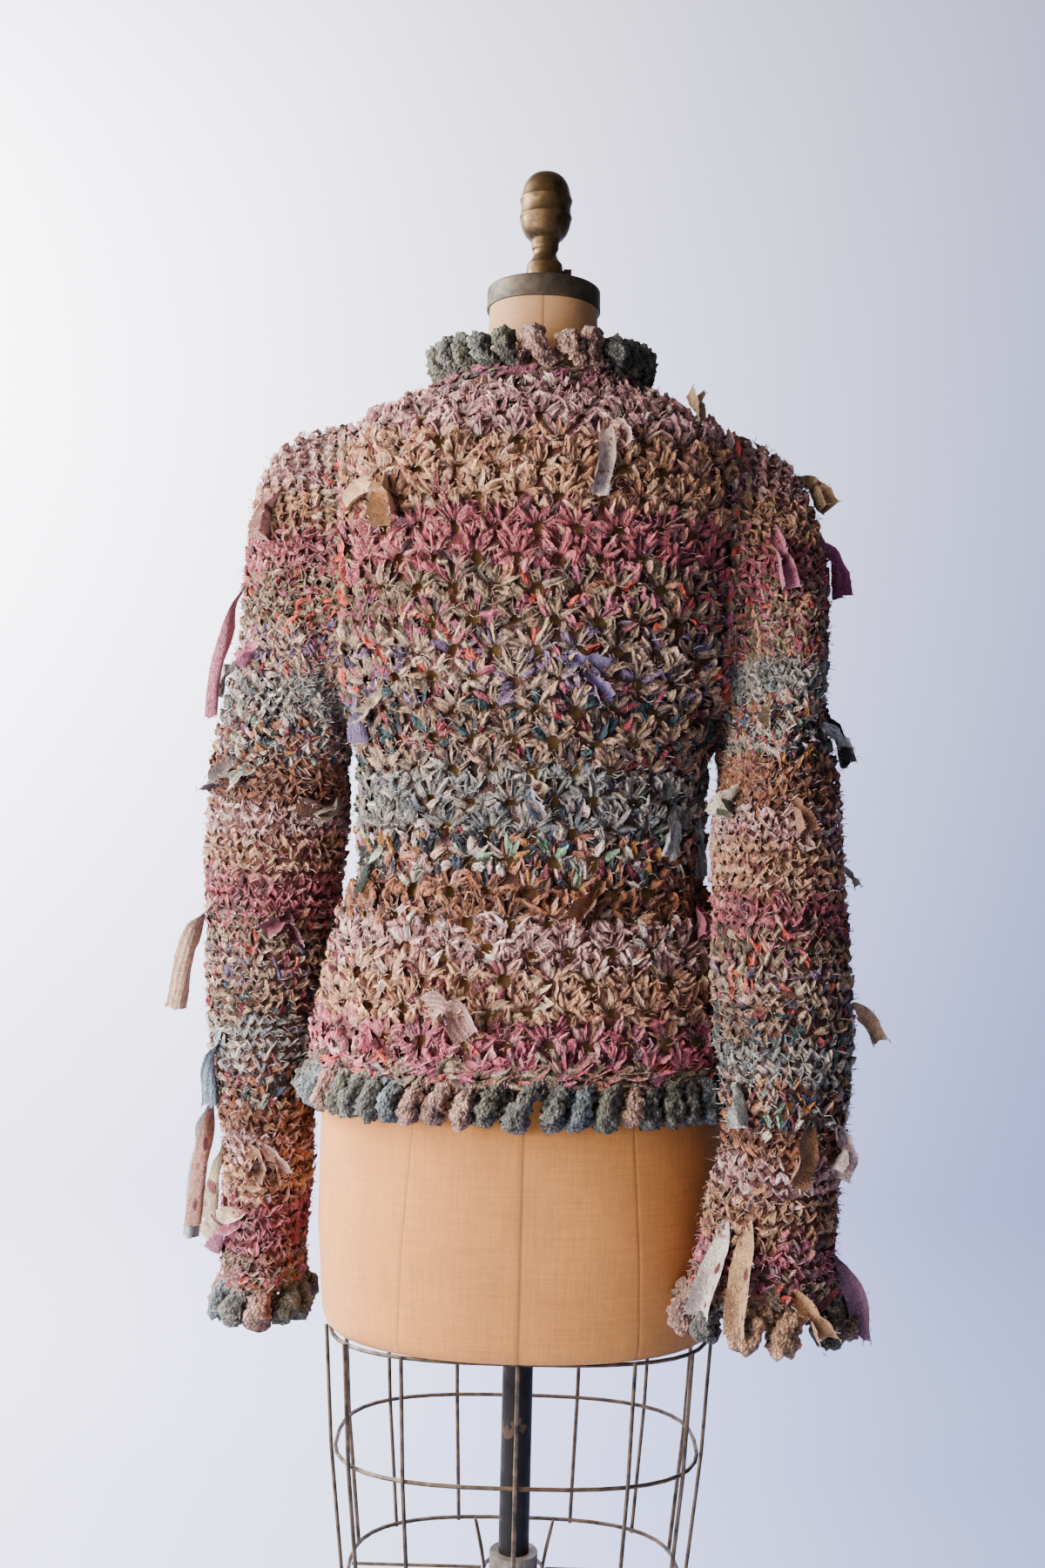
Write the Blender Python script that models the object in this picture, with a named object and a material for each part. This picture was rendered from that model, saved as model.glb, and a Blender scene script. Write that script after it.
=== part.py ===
"""A rag-strip crocheted cardigan on a vintage dress form with a wire cage and an iron foot.

Metres, +Z up. The wearer faces +Y, so the back of the cardigan looks along -Y. The floor is z = 0.
"""

import math

import bmesh
import bpy
import numpy as np

for left_over in list(bpy.data.objects):
    bpy.data.objects.remove(left_over)

SEAM_ANGLE = 0.0014  # half of the gap left at a side, shoulder or front seam, in radians
CLEARANCE = 0.0006  # air between a sleeve and the armhole it is sewn to
SECTION_POWER = 2.2  # roundness of the body sections: 2 is an ellipse, more is squarer

CLOTH_THICKNESS = 0.006  # crochet worked from torn rag strips is this thick
FOLD_HEIGHT = 0.0012
UNDERARM = 1.116
ARMHOLE_X = 0.1572  # distance of the armhole from the centre line at the underarm
ARMHOLE_LEAN = 0.0332  # how much further out it lies for each metre higher

CORD_RADIUS = 0.0046  # the looped trim cord
CORD_SIDES = 5
LOOP_SWING = 0.0122  # half the height of a loop, between the cord's middles
NECK_LOOP_SWING = 0.0102
HEM_TRIM = 0.8128  # middle height of the trim under the hem
NECK_TRIM = 1.4249
CUFF_OVERHANG = 0.03  # how far one row number past the last reaches down
CUFF_DROP = 0.0152  # from a cuff's edge down to the middle of its trim
POINTS_PER_LOOP = 5

POLE_RADIUS = 0.013
TUBE_BORE = 0.01308
TUBE_RADIUS = 0.0158
COLLAR_RADIUS = 0.0205
BASE_RADIUS = 0.225
WIRE_RADIUS = 0.0018
CAGE_WIRES = 13
WIRE_AIR = 0.0003  # left where one wire is welded to another

# The torso under the cloth. Columns: height, half width, depth behind, depth in front.
TORSO = (
    (0.610, 0.1600, 0.112, 0.107),
    (0.614, 0.1640, 0.115, 0.108),
    (0.625, 0.1672, 0.117, 0.1085),
    (0.660, 0.1700, 0.119, 0.109),
    (0.700, 0.1725, 0.122, 0.110),
    (0.780, 0.1725, 0.125, 0.112),
    (0.840, 0.1705, 0.124, 0.113),
    (0.900, 0.1600, 0.113, 0.110),
    (0.960, 0.1430, 0.095, 0.102),
    (1.020, 0.1310, 0.083, 0.098),
    (1.080, 0.1360, 0.088, 0.102),
    (1.140, 0.1450, 0.100, 0.112),
    (1.200, 0.1520, 0.108, 0.128),
    (1.260, 0.1560, 0.112, 0.125),
    (1.310, 0.1570, 0.108, 0.100),
    (1.350, 0.1500, 0.095, 0.078),
    (1.375, 0.1278, 0.0787, 0.0607),
    (1.395, 0.0938, 0.0657, 0.0507),
    (1.410, 0.0650, 0.056, 0.046),
    (1.430, 0.0500, 0.049, 0.045),
    (1.4766, 0.0470, 0.047, 0.047),
)

# The inner face of the cardigan's body. Columns as for the torso.
BODY = (
    (0.800, 0.1790, 0.132, 0.122),
    (0.818, 0.1770, 0.1305, 0.1205),
    (0.8425, 0.1745, 0.1285, 0.1185),
    (0.900, 0.1650, 0.1190, 0.1150),
    (0.9475, 0.1540, 0.1060, 0.1080),
    (0.9700, 0.1450, 0.0990, 0.1060),
    (0.9925, 0.1380, 0.0940, 0.1040),
    (1.0225, 0.1400, 0.0900, 0.1020),
    (1.0825, 0.1410, 0.0940, 0.1070),
    (1.1120, 0.1480, 0.1000, 0.1130),
    (1.1350, 0.1560, 0.1040, 0.1170),
    (1.1600, 0.1640, 0.1080, 0.1240),
    (1.2000, 0.1700, 0.1130, 0.1330),
    (1.2400, 0.1720, 0.1160, 0.1330),
    (1.2800, 0.1720, 0.1150, 0.1240),
    (1.3100, 0.1710, 0.1120, 0.1080),
    (1.3300, 0.1690, 0.1080, 0.0960),
    (1.3450, 0.1655, 0.1030, 0.0880),
    (1.3550, 0.1600, 0.0980, 0.0820),
    (1.3680, 0.1440, 0.0880, 0.0720),
    (1.3800, 0.1240, 0.0790, 0.0640),
    (1.3920, 0.1010, 0.0710, 0.0570),
    (1.3980, 0.0915, 0.0680, 0.0545),
    (1.4040, 0.0838, 0.0645, 0.0530),
    (1.4100, 0.0800, 0.0625, 0.0520),
    (1.4160, 0.0785, 0.0615, 0.0515),
)

BODY_HEIGHTS = (
    0.828, 0.845, 0.87, 0.90, 0.93, 0.96, 0.99, 1.02, 1.05, 1.08, 1.105, 1.12, 1.13, 1.145, 1.165,
    1.195, 1.23, 1.265, 1.30, 1.325, 1.342, 1.352, 1.36, 1.368, 1.378, 1.388, 1.398,
)

NECKBAND_HEIGHTS = (1.3985, 1.4010, 1.4040, 1.4095)

# Rings of the sleeves, from the armhole to the cuff.
# Columns: the side by the body (x, z), the outer side (x, z), middle in y, half depth in y.
SLEEVE_RIGHT = (
    (0.1572, 1.1160, 0.1657, 1.3720, 0.002, 0.064),
    (0.1590, 1.1110, 0.1940, 1.3600, 0.001, 0.066),
    (0.1602, 1.1060, 0.2200, 1.3370, -0.002, 0.067),
    (0.1608, 1.1000, 0.2370, 1.2980, -0.007, 0.067),
    (0.1608, 1.0930, 0.2450, 1.2500, -0.014, 0.066),
    (0.1605, 1.0850, 0.2445, 1.1950, -0.024, 0.063),
    (0.1590, 1.0730, 0.2430, 1.1400, -0.035, 0.060),
    (0.1560, 1.0560, 0.2490, 1.0850, -0.048, 0.057),
    (0.1520, 1.0280, 0.2515, 1.0360, -0.060, 0.056),
    (0.1490, 0.9900, 0.2535, 0.9900, -0.074, 0.055),
    (0.1500, 0.9400, 0.2555, 0.9400, -0.087, 0.053),
    (0.1520, 0.8800, 0.2555, 0.8800, -0.099, 0.051),
    (0.1565, 0.8300, 0.2535, 0.8300, -0.108, 0.049),
    (0.1565, 0.7850, 0.2500, 0.7850, -0.111, 0.049),
    (0.1490, 0.7450, 0.2440, 0.7450, -0.108, 0.050),
    (0.1420, 0.7080, 0.2430, 0.7080, -0.109, 0.051),
    (0.1320, 0.6750, 0.2520, 0.6750, -0.112, 0.054),
)
SLEEVE_LEFT = (
    (0.1572, 1.1160, 0.1657, 1.3720, 0.002, 0.064),
    (0.1590, 1.1110, 0.2030, 1.3640, 0.002, 0.066),
    (0.1605, 1.1060, 0.2330, 1.3380, 0.003, 0.067),
    (0.1615, 1.0990, 0.2455, 1.2950, 0.004, 0.067),
    (0.1620, 1.0920, 0.2500, 1.2450, 0.005, 0.066),
    (0.1625, 1.0840, 0.2530, 1.1950, 0.008, 0.064),
    (0.1630, 1.0740, 0.2660, 1.1430, 0.013, 0.061),
    (0.1630, 1.0620, 0.2760, 1.0950, 0.020, 0.059),
    (0.1625, 1.0350, 0.2810, 1.0400, 0.028, 0.058),
    (0.1650, 0.9920, 0.2850, 0.9920, 0.034, 0.057),
    (0.1705, 0.9450, 0.2825, 0.9450, 0.041, 0.057),
    (0.1800, 0.8850, 0.2810, 0.8850, 0.049, 0.058),
    (0.1860, 0.8350, 0.2785, 0.8350, 0.055, 0.059),
    (0.1900, 0.7720, 0.2690, 0.7720, 0.056, 0.060),
    (0.1905, 0.7250, 0.2620, 0.7250, 0.056, 0.060),
    (0.1940, 0.6700, 0.2625, 0.6700, 0.056, 0.059),
    (0.1930, 0.6300, 0.2640, 0.6300, 0.056, 0.058),
)
SLEEVE_RINGS = 22
SLEEVE_SIDES = 16

# The turned finial. Columns: radius, height above its foot.
FINIAL = (
    (0.0000, 0.0000), (0.0155, 0.0000), (0.0155, 0.0050), (0.0120, 0.0110), (0.0092, 0.0190),
    (0.0105, 0.0250), (0.0150, 0.0320), (0.0185, 0.0390), (0.0195, 0.0420), (0.0178, 0.0455),
    (0.0214, 0.0500), (0.0200, 0.0570), (0.0165, 0.0640), (0.0150, 0.0690), (0.0165, 0.0760),
    (0.0140, 0.0870), (0.0080, 0.0955), (0.0000, 0.0975),
)
FINIAL_FOOT = 1.4953


def read_table(rows, at):
    """The other columns of a table where its first column is `at`, on a smooth curve through the rows."""
    table = np.array(rows, float)
    keys = table[:, 0]
    values = table[:, 1:]
    at = min(max(at, keys[0]), keys[-1])
    row = min(int(np.searchsorted(keys, at, side="right")) - 1, len(keys) - 2)
    slopes = np.diff(values, axis=0) / np.diff(keys)[:, None]
    both = slopes[1:] * slopes[:-1]
    total = slopes[1:] + slopes[:-1]
    middle = np.where(both > 0, 2 * both / np.where(both > 0, total, 1), 0)
    tangents = np.vstack([slopes[:1], middle, slopes[-1:]])
    width = keys[row + 1] - keys[row]
    s = (at - keys[row]) / width
    start = values[row] * (1 + 2 * s) * (1 - s) ** 2 + values[row + 1] * s * s * (3 - 2 * s)
    bend = tangents[row] * s * (1 - s) ** 2 - tangents[row + 1] * s * s * (1 - s)
    return start + width * bend


def section_point(half_width, behind, in_front, angle, z):
    """A point of a level section: angle 0 is the middle of the back, a quarter turn is the +X side."""
    sine = math.sin(angle)
    cosine = math.cos(angle)
    power = 2 / SECTION_POWER
    depth = behind if cosine > 0 else in_front
    x = half_width * math.copysign(abs(sine) ** power, sine)
    y = -depth * math.copysign(abs(cosine) ** power, cosine)
    return np.array([x, y, z])


def body_inner(angle, z):
    return section_point(*read_table(BODY, z), angle, z)


def unit(vector):
    return vector / np.linalg.norm(vector)


def body_normal(angle, z):
    across = body_inner(angle + 0.02, z) - body_inner(angle - 0.02, z)
    up = body_inner(angle, z + 0.002) - body_inner(angle, z - 0.002)
    return unit(np.cross(across, up))


def body_fold(angle, z):
    """Soft unevenness of the worn crochet."""
    return FOLD_HEIGHT * (0.6 * math.cos(3 * angle) * math.sin(31 * z) + 0.4 * math.cos(5 * angle) * math.sin(47 * z))


def body_outer(angle, z):
    return body_inner(angle, z) + body_normal(angle, z) * (CLOTH_THICKNESS + body_fold(angle, z))


def armhole_x(z):
    return ARMHOLE_X + (z - UNDERARM) * ARMHOLE_LEAN


def panel_limit(z, front):
    """The angle at which a panel ends: the side or shoulder seam, or where the armhole cuts it."""
    side = math.pi / 2
    if z < UNDERARM - 0.01:
        return side
    limit = armhole_x(z) - CLEARANCE
    if body_outer(side, z)[0] <= limit:
        return side
    near = math.radians(135) if front else math.radians(45)
    far = side
    for _ in range(26):
        angle = (near + far) / 2
        if body_outer(angle, z)[0] > limit:
            far = angle
        else:
            near = angle
    return near


def material(name, colour, roughness, metallic=0.0):
    made = bpy.data.materials.new(name)
    made.use_nodes = True
    shader = made.node_tree.nodes["Principled BSDF"]
    shader.inputs["Base Color"].default_value = (*colour, 1.0)
    shader.inputs["Roughness"].default_value = roughness
    shader.inputs["Metallic"].default_value = metallic
    return made


def make_object(name, points, faces, look, smooth=True):
    mesh = bpy.data.meshes.new(name)
    mesh.from_pydata([tuple(map(float, point)) for point in points], [], faces)
    shape = bmesh.new()
    shape.from_mesh(mesh)
    bmesh.ops.recalc_face_normals(shape, faces=shape.faces)
    shape.to_mesh(mesh)
    shape.free()
    if smooth:
        for face in mesh.polygons:
            face.use_smooth = True
    mesh.materials.append(look)
    piece = bpy.data.objects.new(name, mesh)
    bpy.context.scene.collection.objects.link(piece)
    return piece


def make_panel(name, inner, outer, look):
    """A sheet with a wall: two grids of points, joined along all four edges."""
    rows, columns = inner.shape[:2]
    points = np.vstack([inner.reshape(-1, 3), outer.reshape(-1, 3)])
    shift = rows * columns
    faces = []
    for r in range(rows - 1):
        for c in range(columns - 1):
            a = r * columns + c
            faces.append((a, a + 1, a + columns + 1, a + columns))
            faces.append((a + shift, a + columns + shift, a + columns + 1 + shift, a + 1 + shift))
    edge = [c for c in range(columns)]
    edge += [r * columns + columns - 1 for r in range(1, rows)]
    edge += [(rows - 1) * columns + c for c in range(columns - 2, -1, -1)]
    edge += [r * columns for r in range(rows - 2, 0, -1)]
    for a, b in zip(edge, edge[1:] + edge[:1]):
        faces.append((b, a, a + shift, b + shift))
    return make_object(name, points, faces, look)


def make_hose(name, inner, outer, look):
    """A pipe with a wall, open at both ends: two stacks of rings."""
    rows, columns = inner.shape[:2]
    points = np.vstack([inner.reshape(-1, 3), outer.reshape(-1, 3)])
    shift = rows * columns
    faces = []
    for c in range(columns):
        d = (c + 1) % columns
        for r in range(rows - 1):
            a, b = r * columns + c, r * columns + d
            faces.append((a, b, b + columns, a + columns))
            faces.append((a + shift, a + columns + shift, b + columns + shift, b + shift))
        top = (rows - 1) * columns
        faces.append((d, c, c + shift, d + shift))
        faces.append((top + c, top + d, top + d + shift, top + c + shift))
    return make_object(name, points, faces, look)


def make_solid_of_rings(name, rings, look, smooth=True):
    """A solid from a stack of rings, closed flat at both ends."""
    rings = np.asarray(rings)
    rows, columns = rings.shape[:2]
    faces = []
    for r in range(rows - 1):
        for c in range(columns):
            d = (c + 1) % columns
            a, b = r * columns + c, r * columns + d
            faces.append((a, b, b + columns, a + columns))
    faces.append(tuple(range(columns - 1, -1, -1)))
    faces.append(tuple((rows - 1) * columns + c for c in range(columns)))
    return make_object(name, rings.reshape(-1, 3), faces, look, smooth)


def make_cord(name, path, outward, radius, sides, look, closed=False):
    """A round cord along a path. `outward` gives one side direction for each point of the path."""
    path = np.asarray(path, float)
    if closed:
        tangents = np.roll(path, -1, axis=0) - np.roll(path, 1, axis=0)
    else:
        tangents = np.gradient(path, axis=0)
    rings = []
    for point, tangent, out in zip(path, tangents, outward):
        tangent = unit(tangent)
        side = unit(np.cross(tangent, out))
        lift = np.cross(side, tangent)
        ring = []
        for k in range(sides):
            turn = 2 * math.pi * k / sides
            ring.append(point + radius * (math.cos(turn) * side + math.sin(turn) * lift))
        rings.append(ring)
    if not closed:
        return make_solid_of_rings(name, rings, look)
    rings = np.asarray(rings)
    rows, columns = rings.shape[:2]
    faces = []
    for r in range(rows):
        s = (r + 1) % rows
        for c in range(columns):
            d = (c + 1) % columns
            faces.append((r * columns + c, r * columns + d, s * columns + d, s * columns + c))
    return make_object(name, rings.reshape(-1, 3), faces, look)


def make_turned(name, profile, segments, look, centre=(0.0, 0.0, 0.0), smooth=True):
    """A solid turned about an upright axis. Profile rows are radius and height, from axis to axis."""
    points = []
    rings = []
    for radius, height in profile:
        if radius == 0:
            rings.append([len(points)])
            points.append((centre[0], centre[1], centre[2] + height))
            continue
        ring = []
        for k in range(segments):
            turn = 2 * math.pi * k / segments
            ring.append(len(points))
            x = centre[0] + radius * math.cos(turn)
            y = centre[1] + radius * math.sin(turn)
            points.append((x, y, centre[2] + height))
        rings.append(ring)
    faces = []
    for lower, upper in zip(rings, rings[1:]):
        for k in range(segments):
            n = (k + 1) % segments
            if len(lower) == 1:
                faces.append((lower[0], upper[k], upper[n]))
            elif len(upper) == 1:
                faces.append((lower[k], upper[0], lower[n]))
            else:
                faces.append((lower[k], upper[k], upper[n], lower[n]))
    return make_object(name, points, faces, look, smooth)


def make_pipe(name, bore, radius, bottom, top, segments, look):
    """A straight upright pipe, open at both ends."""
    turns = [2 * math.pi * k / segments for k in range(segments)]
    stacks = []
    for r in (bore, radius):
        stacks.append(np.array([[(r * math.cos(t), r * math.sin(t), z) for t in turns] for z in (bottom, top)]))
    return make_hose(name, stacks[0], stacks[1], look)


def make_body_panel(name, start, end, columns, look):
    """A panel of the body between two limits. Each limit is a function of height."""
    inner = []
    outer = []
    for z in BODY_HEIGHTS:
        angles = np.linspace(start(z), end(z), columns + 1)
        inner.append([body_inner(angle, z) for angle in angles])
        outer.append([body_outer(angle, z) for angle in angles])
    return make_panel(name, np.array(inner), np.array(outer), look)


def back_end(z):
    return panel_limit(z, front=False) - SEAM_ANGLE


def back_start(z):
    return -back_end(z)


def front_side(z):
    return panel_limit(z, front=True) + SEAM_ANGLE


def front_middle(z):
    return math.pi - SEAM_ANGLE


def make_body(crochet):
    make_body_panel("back", back_start, back_end, 18, crochet)
    make_body_panel("front_right", front_side, front_middle, 9, crochet)
    make_body_panel("front_left", lambda z: -front_middle(z), lambda z: -front_side(z), 9, crochet)


def sleeve_point(rows, side, at, turn, shrink):
    """A point of a sleeve. `at` is a row number, turn 0 is away from the body, `shrink` is inward."""
    numbered = [(float(number), *row) for number, row in enumerate(rows)]
    in_x, in_z, out_x, out_z, middle_y, half_depth = read_table(numbered, at)
    inner = np.array([side * in_x, middle_y, in_z])
    outer = np.array([side * out_x, middle_y, out_z])
    reach = outer - inner
    half = np.linalg.norm(reach) / 2
    fold = FOLD_HEIGHT * min(1.0, at / 2) * math.sin(2 * turn + 1.9 * at) if shrink == 0 else 0.0
    across = (half - shrink + fold) * math.cos(turn) * unit(reach)
    along_y = (half_depth - shrink + fold) * math.sin(turn)
    return (inner + outer) / 2 + across + np.array([0.0, along_y, 0.0])


def sleeve_ring(rows, at, side, shrink):
    turns = np.linspace(0, 2 * math.pi, SLEEVE_SIDES, endpoint=False)
    return [sleeve_point(rows, side, at, turn, shrink) for turn in turns]


def sleeve_skin(rows, side, turn, at):
    """A point of a sleeve's outside and the way it faces. Past the last row it goes straight down."""
    last = len(rows) - 1.01
    near = min(at, last)
    point = sleeve_point(rows, side, near, turn, 0.0)
    around = sleeve_point(rows, side, near, turn + 0.02, 0.0) - point
    along = sleeve_point(rows, side, near - 0.05, turn, 0.0) - point
    out = unit(np.cross(around, along))
    middle = (point + sleeve_point(rows, side, near, turn + math.pi, 0.0)) / 2
    if np.dot(out, point - middle) < 0:
        out = -out
    return point - np.array([0.0, 0.0, (at - near) * CUFF_OVERHANG]), out


def make_sleeve(name, rows, side, look):
    stations = np.linspace(0, len(rows) - 1, SLEEVE_RINGS)
    outer = np.array([sleeve_ring(rows, at, side, 0.0) for at in stations])
    inner = np.array([sleeve_ring(rows, at, side, CLOTH_THICKNESS) for at in stations])
    make_hose(name, inner, outer, look)


def make_neckband(look):
    angles = np.linspace(-math.pi + SEAM_ANGLE, math.pi - SEAM_ANGLE, 31)
    inner = [[body_inner(angle, z) for angle in angles] for z in NECKBAND_HEIGHTS]
    outer = [[body_outer(angle, z) for angle in angles] for z in NECKBAND_HEIGHTS]
    make_panel("neckband", np.array(inner), np.array(outer), look)


def looped_path(loops, height, place, start, end, swing, flare):
    """A cord that runs up and down as it goes along an edge. `place` gives a point of the edge."""
    path = []
    outward = []
    steps = loops * POINTS_PER_LOOP
    for i in range(steps + 1):
        share = i / steps
        angle = start + (end - start) * share
        phase = 2 * math.pi * loops * share
        middle = place(angle, height)
        beside = place(angle + 0.01, height)
        out = unit(np.cross(beside - middle, np.array([0.0, 0.0, 1.0])))
        droop = math.sin(phase)
        path.append(middle + np.array([0.0, 0.0, swing * droop]) + out * flare * (1 - droop) / 2)
        outward.append(out)
    return path, outward


def hem_place(angle, z):
    return section_point(0.1815, 0.135, 0.125, angle, z)


def neck_place(angle, z):
    return section_point(0.0892, 0.0717, 0.0617, angle, z)


def make_ruffles(trim):
    # Columns: name, first angle, last angle, number of loops.
    hem_parts = (
        ("hem_ruffle_back", -88.5, 88.5, 20),
        ("hem_ruffle_front_right", 91.5, 178.0, 10),
        ("hem_ruffle_front_left", -178.0, -91.5, 10),
    )
    for name, first, last, loops in hem_parts:
        path, outward = looped_path(
            loops, HEM_TRIM, hem_place, math.radians(first), math.radians(last), LOOP_SWING, 0.004
        )
        make_cord(name, path, outward, CORD_RADIUS, CORD_SIDES, trim)
    path, outward = looped_path(
        21, NECK_TRIM, neck_place, math.radians(-176), math.radians(176), NECK_LOOP_SWING, -0.002
    )
    make_cord("neck_ruffle", path, outward, CORD_RADIUS, CORD_SIDES, trim)
    for name, rows, side in (("cuff_ruffle_right", SLEEVE_RIGHT, 1), ("cuff_ruffle_left", SLEEVE_LEFT, -1)):
        in_x, cuff, out_x, _, middle_y, half_depth = rows[-1]
        centre_x = side * (in_x + out_x) / 2
        half = (out_x - in_x) / 2 - 0.003

        def cuff_place(angle, z, centre_x=centre_x, middle_y=middle_y, half=half, depth=half_depth - 0.003):
            return np.array([centre_x + half * math.sin(angle), middle_y - depth * math.cos(angle), z])

        path, outward = looped_path(14, cuff - CUFF_DROP, cuff_place, -3.06, 3.06, LOOP_SWING, 0.004)
        make_cord(name, path, outward, CORD_RADIUS, CORD_SIDES, trim)


# Loose ends of rag strip left hanging on the outside, each sewn in at its first point.
# Columns: name, width, what it is on, points. A point is turn in degrees, height or row number, lift.
RAG_TAILS = (
    ("tail_cuff_pale", 0.018, "sleeve_right", ((-140, 14.3, 0), (-139, 15.0, 2), (-139, 15.9, 8), (-141, 16.5, 9))),
    ("tail_cuff_tan", 0.018, "sleeve_right", ((-118, 14.2, 0), (-116, 15.0, 2), (-114, 15.9, 8), (-114, 16.7, 9))),
    ("tail_cuff_mauve", 0.016, "sleeve_right", ((-28, 15.0, 0), (-24, 15.8, 7), (-20, 16.5, 10), (-18, 17.2, 12))),
    ("tail_forearm_brown", 0.018, "sleeve_right", ((-74, 12.4, -1.1), (-82, 12.9, 3), (-87, 13.4, 4))),
    ("tail_elbow_long", 0.014, "sleeve_left", ((-32, 9.7, -0.8), (-14, 10.1, 6), (-10, 10.7, 16), (-8, 11.4, 26))),
    ("tail_forearm_rose", 0.014, "sleeve_left", ((-20, 12.6, 0), (-8, 13.2, 9), (-5, 14.1, 17), (-2, 15.0, 24))),
    ("tail_forearm_blue", 0.016, "sleeve_left", ((-52, 11.7, -0.6), (-43, 12.2, 3), (-34, 12.8, 5))),
    ("tail_upper_rose", 0.013, "sleeve_left", ((-22, 4.2, -0.6), (-14, 4.9, 6), (-14, 5.5, 7), (-30, 6.1, 2))),
    ("tail_upper_dark", 0.015, "sleeve_left", ((-59, 7.1, -0.7), (-45, 7.4, 3), (-34, 7.7, 5))),
    ("tail_waist_bow", 0.018, "body", ((-26, 0.884, -0.9), (-20, 0.893, 3), (-15, 0.892, 4), (-12, 0.874, 3))),
    ("tail_shoulder_blush", 0.015, "body", ((17, 1.352, 0), (15, 1.327, 3), (13, 1.291, 3))),
    ("tail_shoulder_tan", 0.014, "body", ((-55, 1.299, 0), (-48, 1.302, 3), (-40, 1.291, 3))),
    ("tail_waist_mint", 0.013, "body", ((-55, 1.011, 0), (-62, 0.991, 3), (-62, 0.968, 3))),
    ("tail_waist_stripe", 0.016, "body", ((51, 1.048, 0), (48, 1.029, 3), (46, 1.008, 3))),
    ("tail_elbow_tan", 0.013, "sleeve_right", ((-20, 10.7, 0), (-10, 10.9, 8), (-6, 11.2, 18))),
)
RAG_THICKNESS = 0.002
RAG_SEAT = 0.0017  # from the skin to the middle of a strip where it is sewn in


def skin(carrier, turn, row):
    turn = math.radians(turn)
    if carrier == "body":
        return body_outer(turn, row), body_normal(turn, row)
    if carrier == "sleeve_right":
        return sleeve_skin(SLEEVE_RIGHT, 1, turn, row)
    return sleeve_skin(SLEEVE_LEFT, -1, turn, row)


def make_rag_tail(name, width, carrier, stations, look):
    path = []
    facings = []
    for turn, row, lift in stations:
        point, out = skin(carrier, turn, row)
        path.append(point + out * (RAG_SEAT + lift * 0.001))
        facings.append(out)
    tangents = np.gradient(np.array(path), axis=0)
    rings = []
    for number, (point, tangent, out) in enumerate(zip(path, tangents, facings)):
        side = unit(np.cross(out, tangent))
        lift = unit(np.cross(tangent, side)) if number else out
        half = width / 2 * (1.0 if number else 0.5)
        thick = RAG_THICKNESS / 2
        corners = ((-half, -thick), (half, -thick), (half, thick), (-half, thick))
        rings.append([point + a * side + b * lift for a, b in corners])
    make_solid_of_rings(name, rings, look, smooth=False)


def make_form(linen, bronze, black):
    turns = np.linspace(0, 2 * math.pi, 26, endpoint=False)
    heights = (
        0.610, 0.614, 0.625, 0.645, 0.68, 0.72, 0.78, 0.84, 0.90, 0.95, 0.99, 1.03, 1.07, 1.12,
        1.17, 1.22, 1.27, 1.31, 1.34, 1.357, 1.375, 1.388, 1.40, 1.412, 1.43, 1.4766,
    )
    rings = []
    for z in heights:
        rings.append([section_point(*read_table(TORSO, z), turn, z) for turn in turns])
    make_solid_of_rings("form_torso", rings, linen)
    cap = ((0, 0), (0.0455, 0), (0.047, 0.0015), (0.047, 0.0150), (0.0445, 0.0180), (0, 0.0182))
    make_turned("neck_cap", cap, 28, bronze, (0.0, 0.0, 1.4769))
    make_turned("finial", FINIAL, 16, bronze, (0.0, 0.0, FINIAL_FOOT))
    screw = []
    for x, radius in ((0.0104, 0.0014), (0.0165, 0.0014), (0.0165, 0.0030), (0.0235, 0.0030)):
        ring = []
        for k in range(8):
            turn = 2 * math.pi * k / 8
            ring.append((x, radius * math.cos(turn), 1.5130 + radius * math.sin(turn)))
        screw.append(ring)
    make_solid_of_rings("set_screw", screw, black)


# The cage. Columns: height, half width, half depth of a ring.
CAGE_RINGS = ((0.6079, 0.1585, 0.1045), (0.5100, 0.1520, 0.1020), (0.4015, 0.1395, 0.0970))


HUB_RADIUS = 0.0250
SPOKE_RADIUS = 0.0014
SPOKE_ANGLES = (-90.0, -38.0, 38.0, 90.0)
# One sprung loop. Columns: distance out, height above the hub, sideways.
LOOP_POINTS = (
    (0.0250, 0.0021, -0.0045), (0.0272, 0.0150, -0.0050), (0.0315, 0.0340, -0.0040), (0.0330, 0.0400, -0.0015),
    (0.0330, 0.0400, 0.0015), (0.0315, 0.0340, 0.0040), (0.0272, 0.0150, 0.0050), (0.0250, 0.0021, 0.0045),
)


def cage_point(half_width, half_depth, angle, z):
    power = 2 / 2.8
    sine, cosine = math.sin(angle), math.cos(angle)
    x = half_width * math.copysign(abs(sine) ** power, sine)
    y = -half_depth * math.copysign(abs(cosine) ** power, cosine)
    return np.array([x, y, z])


def cage_out(half_width, half_depth, angle, z):
    """The level direction that points away from a ring of the cage."""
    along = cage_point(half_width, half_depth, angle + 0.01, z) - cage_point(half_width, half_depth, angle - 0.01, z)
    return unit(np.array([along[1], -along[0], 0.0]))


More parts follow.
